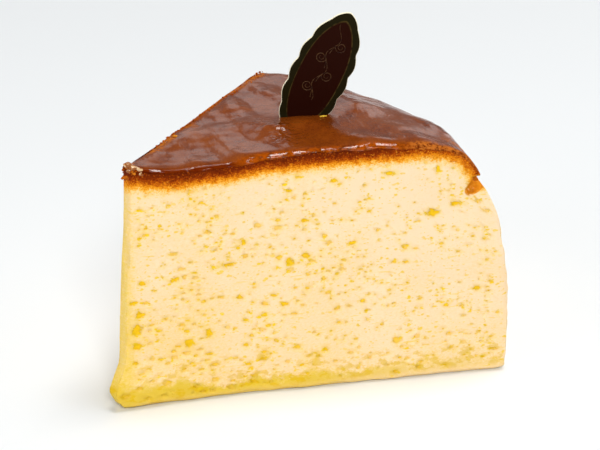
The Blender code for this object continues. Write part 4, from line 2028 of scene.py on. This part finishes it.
@dataclass
class FoilCard:
    """The leaf-shaped foil card that stands in the top."""

    form: SliceForm
    finish: CardFinish = CardFinish()
    length: float = 33.0 * MM
    half_width: float = 6.3 * MM
    thickness: float = 0.6 * MM
    fullness: float = 2.4
    point: float = 0.66
    scallop_depth: float = 0.62 * MM
    scallop_pitch: float = 5.7 * MM
    scallop_start: float = 1.6 * MM
    foot: Triple = (45.5 * MM, 24.1 * MM, 58.7 * MM)
    buried: float = 6.0 * MM
    turn: float = math.radians(-8.0)
    lean: float = math.radians(25.5)
    slot_gap: float = 0.3 * MM
    steps: int = 110
    bevel: float = 0.06 * MM
    edge_bevels: float = 1.6
    panel_inset: float = 1.15 * MM
    panel_end: float = 1.9
    panel_sunk: float = 0.07 * MM
    line_before: float = 0.08 * MM
    line_after: float = 0.12 * MM
    line_past: float = 0.25 * MM
    sharp_from: float = math.radians(35.0)
    vine_span: Pair = (-0.18, 0.4)
    stem_points: int = 40
    stem_swing: float = 0.9 * MM
    stem_wave: float = 7.5 * MM
    stem_radius: float = 0.11 * MM
    curl_radius: float = 1.35 * MM
    curl_gap: float = 0.5 * MM
    curl_rise: float = 0.9 * MM
    curl_foot: float = 1.4 * MM
    curl_points: int = 26
    curl_turn: float = 3.3 * math.pi
    curl_tightens: float = 0.8
    taper: float = 0.55

    def half_at(self, share: float, scalloped: bool = True) -> float:
        """Half the card's width at a share from -1 to 1 of its half length.

        Args:
            share: the share.
            scalloped: whether the scallops count.

        Returns:
            Half the width.
        """
        leaf = max(0.0, 1.0 - abs(share) ** self.fullness) ** self.point
        from_foot = (share + 1.0) * self.length / 2 - self.scallop_start
        scallop = abs(math.sin(math.pi * from_foot / self.scallop_pitch)) if scalloped else 0.0
        return leaf * (self.half_width + self.scallop_depth * scallop)

    def outline(self, inset: float) -> list[Pair]:
        """The card's outline, or one inside it.

        Args:
            inset: how far inside the edge it runs.

        Returns:
            Its points, as across and along, once round.
        """
        half_length = self.length / 2
        shrink = 1.0 - inset / self.half_width
        right = []
        for n in range(self.steps + 1):
            share = -math.cos(math.pi * n / self.steps)
            across = max(0.0, self.half_at(share, inset < self.panel_inset / 2) * shrink)
            right.append((across, share * (half_length - self.panel_end * inset)))
        left = [(-across, along) for across, along in reversed(right)]
        return right + left[1:-1]

    def matrix(self) -> Matrix:
        """Where the card stands.

        Returns:
            What moves the card from its own frame into the slice's.
        """
        raised = Matrix.Translation((0.0, 0.0, self.length / 2 - self.buried))
        turned = Matrix.Rotation(self.turn, 4, "Z") @ Matrix.Rotation(self.lean, 4, "Y")
        place = Vector(self.form.tip_place) + Vector(self.foot)
        return Matrix.Translation(place) @ turned @ raised

    def slot(self) -> bmesh.types.BMesh:
        """The card grown by the slot's gap, as a mesh that cuts.

        Returns:
            The mesh.
        """
        tool = bmesh.new()
        grow = self.slot_gap
        thick = self.thickness / 2 + grow
        ring = self.outline(0.0)[:: 2]
        spread = 1.0 + grow / self.half_width
        place = self.matrix()
        sides = [
            [tool.verts.new(place @ Vector((x * spread, y, z * spread))) for x, z in ring]
            for y in (-thick, thick)
        ]
        tool.faces.new(sides[0])
        tool.faces.new(reversed(sides[1]))
        for face in band(*sides):
            tool.faces.new(face)
        bmesh.ops.recalc_face_normals(tool, faces=tool.faces)
        return tool

    def build(self) -> list[bpy.types.Object]:
        """Builds and dresses the card and its vine.

        Returns:
            The two pieces.
        """
        piece = Piece()
        half = self.thickness / 2
        sunk = half - self.panel_sunk
        # each ring's inset and depth, then how much of the rim, the cut edge and the bright line it has
        fronts = (
            (0.0, half - self.bevel, 1.0, 1.0, 0.0),
            (self.bevel, half, 1.0, 1.0, 0.0),
            (self.bevel * self.edge_bevels, half, 1.0, 0.0, 0.0),
            (self.panel_inset - self.line_before, half, 1.0, 0.0, 0.0),
            (self.panel_inset, half, 1.0, 0.0, 1.0),
            (self.panel_inset + self.line_after, sunk, 0.0, 0.0, 0.6),
            (self.panel_inset + self.line_past, sunk, 0.0, 0.0, 0.0),
        )
        rings, fields = [], []
        for side in (-1.0, 1.0):
            for inset, depth, *values in fronts if side < 0 else reversed(fronts):
                ring = self.outline(inset)
                first = piece.add(np.array([(x, side * depth, z) for x, z in ring]))
                rings.append(range(first, piece.count))
                fields += [values] * len(ring)
        order = rings[: len(fronts)][::-1] + rings[len(fronts):][::-1]
        for one, two in zip(order, order[1:]):
            piece.faces += band(one, two)
        piece.faces.append(tuple(order[0]))
        piece.faces.append(tuple(reversed(order[-1])))
        mesh = piece.mesh("card")
        mesh.transform(self.matrix())
        mesh.set_sharp_from_angle(angle=self.sharp_from)
        for name, values in zip(("rim", "edge", "line"), np.array(fields).T):
            keep_field(mesh, name, values)
        card = show("card_leaf", mesh, self.finish.card())
        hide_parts("card")
        return [card, self.vine()]

    def vine(self) -> bpy.types.Object:
        """A thin vine of a waving stem and curled tendrils, raised on the card's panels.

        Returns:
            The vine.
        """
        data = bpy.data.curves.new("vine", "CURVE")
        data.dimensions = "3D"
        data.bevel_depth = self.stem_radius
        data.bevel_resolution = 2
        data.use_fill_caps = True
        low, high = [share * self.length for share in self.vine_span]
        for side in (-1.0, 1.0):
            y = side * (self.thickness / 2 - self.panel_sunk)
            stem = [(self.stem_at(z), y, z) for z in np.linspace(low, high, self.stem_points)]
            self.add_line(data, stem)
            turns = 0
            z = low + self.stem_wave / 4
            while z < high - self.stem_wave / 3:
                hand = 1.0 if turns % 2 else -1.0
                self.add_line(data, self.curl(z, y, hand))
                turns += 1
                z += self.stem_wave / 2
        drawn = add_object("vine_lines", data)
        seen = drawn.evaluated_get(bpy.context.evaluated_depsgraph_get())
        mesh = bpy.data.meshes.new_from_object(seen)
        bpy.data.objects.remove(drawn, do_unlink=True)
        mesh.transform(self.matrix())
        return show("card_vine", mesh, self.finish.ornament())

    def stem_at(self, along: float) -> float:
        """How far the stem swings to the side at a place along the card."""
        return self.stem_swing * math.sin(math.tau * along / self.stem_wave)

    def curl(self, along: float, y: float, hand: float) -> list[Triple]:
        """A tendril that leaves the stem and curls in on itself.

        Args:
            along: where it leaves the stem.
            y: how far it lies in front of the card's middle.
            hand: 1 to curl to the right and -1 to the left.

        Returns:
            Its points.
        """
        start = self.stem_at(along)
        middle = (start + hand * (self.curl_radius + self.curl_gap), along + self.curl_rise)
        points = [(start, y, along - self.curl_foot)]
        for share in np.linspace(0.0, 1.0, self.curl_points):
            radius = self.curl_radius * (1.0 - self.curl_tightens * share)
            angle = math.pi + self.curl_turn * share
            across = middle[0] + hand * radius * math.cos(angle)
            points.append((across, y, middle[1] + radius * math.sin(angle)))
        return points

    def add_line(self, data: bpy.types.Curve, points: Sequence[Triple]) -> None:
        """Adds a thin line to a curve, tapered to its end.

        Args:
            data: the curve.
            points: the line's points.
        """
        line = data.splines.new("POLY")
        line.points.add(len(points) - 1)
        for n, (point, place) in enumerate(zip(line.points, points)):
            point.co = (*place, 1.0)
            point.radius = 1.0 - self.taper * n / (len(points) - 1)


@dataclass(frozen=True)
class Lamp:
    """A soft panel that faces the slice, with its width and height and its power in watts."""

    name: str
    place: Triple
    size: Pair
    power: float
    colour: Colour = (1.0, 0.99, 0.98)


@dataclass
class Studio:
    """The floor, the lights and the camera.

    The back panels, which the glaze reflects, are given by how far round they hang, in degrees, and their
    power in watts.
    """

    floor_size: float = 4.0
    floor_colour: Colour = (0.840, 0.868, 0.886)
    floor_clouds: Grain = Grain(0.004)
    floor_darker: float = 0.99
    floor_roughness: float = 0.65
    floor_specular: float = 0.2
    sky_colour: Colour = (0.98, 0.99, 1.0)
    sky_strength: float = 0.16
    aim: Triple = (-3.0 * MM, -35.96 * MM, 41.6 * MM)
    azimuth: float = math.radians(-11.754)
    elevation: float = math.radians(23.5)
    distance: float = 450.0 * MM
    lens: float = 120.87
    sensor: float = 36.0
    clip_start: float = 10.0 * MM
    panels: tuple[Pair, ...] = ((-26.0, 0.26), (-9.0, 0.26), (8.0, 0.26), (25.0, 0.38), (42.0, 0.38))
    panel_away: float = 1.35
    panel_height: float = 0.56
    panel_size: Pair = (0.24, 0.5)
    panel_colour: Colour = (0.99, 0.99, 1.0)
    lamps: tuple[Lamp, ...] = (
        Lamp("back_left_fill", (-1.0, 0.9, 0.3), (0.8, 0.6), 3.2),
        Lamp("back_right_fill", (0.9, 0.8, 0.3), (0.6, 0.6), 1.6),
        Lamp("right_fill", (1.2, 0.2, 0.4), (0.8, 0.8), 1.8),
        Lamp("key", (-0.1, -1.0, 0.75), (0.42, 0.25), 8.2, (1.0, 0.985, 0.96)),
        Lamp("left_fill", (-1.1, -0.5, 0.5), (0.8, 0.8), 2.8),
        Lamp("top", (0.22, -0.036, 1.22), (0.45, 0.5), 8.8),
    )

    def build(self) -> None:
        """Builds the whole studio."""
        self.add_floor()
        self.add_sky()
        for n, (degrees, power) in enumerate(self.panels):
            turn = math.radians(degrees)
            away = self.panel_away
            place = (away * math.sin(turn), away * math.cos(turn), self.panel_height)
            self.add_lamp(Lamp(f"back_panel_{n}", place, self.panel_size, power, self.panel_colour))
        for lamp in self.lamps:
            self.add_lamp(lamp)
        self.add_camera()

    def add_floor(self) -> None:
        """Lays the pale floor."""
        half = self.floor_size / 2
        data = bpy.data.meshes.new("floor")
        corners = [(-half, -half, 0.0), (half, -half, 0.0), (half, half, 0.0), (-half, half, 0.0)]
        data.from_pydata(corners, [], [(0, 1, 2, 3)])
        bench = Bench("pale_floor")
        soft = bench.cloud(bench.place(), self.floor_clouds)
        darker = tuple(self.floor_darker * part for part in self.floor_colour)
        bench.finish(Base_Color=bench.mix(soft, self.floor_colour, darker))
        bench.finish(Roughness=self.floor_roughness, Specular_IOR_Level=self.floor_specular)
        data.materials.append(bench.material)
        floor = add_object("floor", data)

    def add_sky(self) -> None:
        """Lights the whole room softly and evenly."""
        world = bpy.data.worlds.new("soft_room")
        world.use_nodes = True
        sky = world.node_tree.nodes["Background"]
        sky.inputs["Color"].default_value = (*self.sky_colour, 1.0)
        sky.inputs["Strength"].default_value = self.sky_strength
        bpy.context.scene.world = world
        bpy.context.scene.view_settings.view_transform = "Standard"

    def add_lamp(self, lamp: Lamp) -> None:
        """Hangs a lamp.

        Args:
            lamp: the lamp.
        """
        data = bpy.data.lights.new(lamp.name, "AREA")
        data.shape = "RECTANGLE"
        data.size, data.size_y = lamp.size
        data.energy = lamp.power
        data.color = lamp.colour
        hung = add_object(lamp.name, data)
        hung.location = lamp.place
        towards = Vector(self.aim) - Vector(lamp.place)
        hung.rotation_euler = towards.to_track_quat("-Z", "Y").to_euler()

    def add_camera(self) -> None:
        """Sets up the camera where the photograph was taken from."""
        data = bpy.data.cameras.new("camera")
        data.lens = self.lens
        data.sensor_width = self.sensor
        data.clip_start = self.clip_start
        camera = add_object("camera", data)
        level = Vector((-math.sin(self.azimuth), math.cos(self.azimuth), 0.0))
        ahead = level * math.cos(self.elevation) - Vector((0.0, 0.0, math.sin(self.elevation)))
        camera.location = Vector(self.aim) - ahead * self.distance
        camera.rotation_euler = ahead.to_track_quat("-Z", "Y").to_euler()
        bpy.context.scene.camera = camera


def main() -> None:
    """Builds the slice, the card and the studio."""
    logging.basicConfig(level=logging.INFO, format="%(name)s: %(message)s")
    form = SliceForm()
    card = FoilCard(form)
    CrumbBody(form).build(card)
    GlazeLayer(form).build()
    CrustCrumbs(form).build()
    GlazeDrops(form).build()
    card.build()
    Studio().build()


if __name__ == "__main__":
    main()
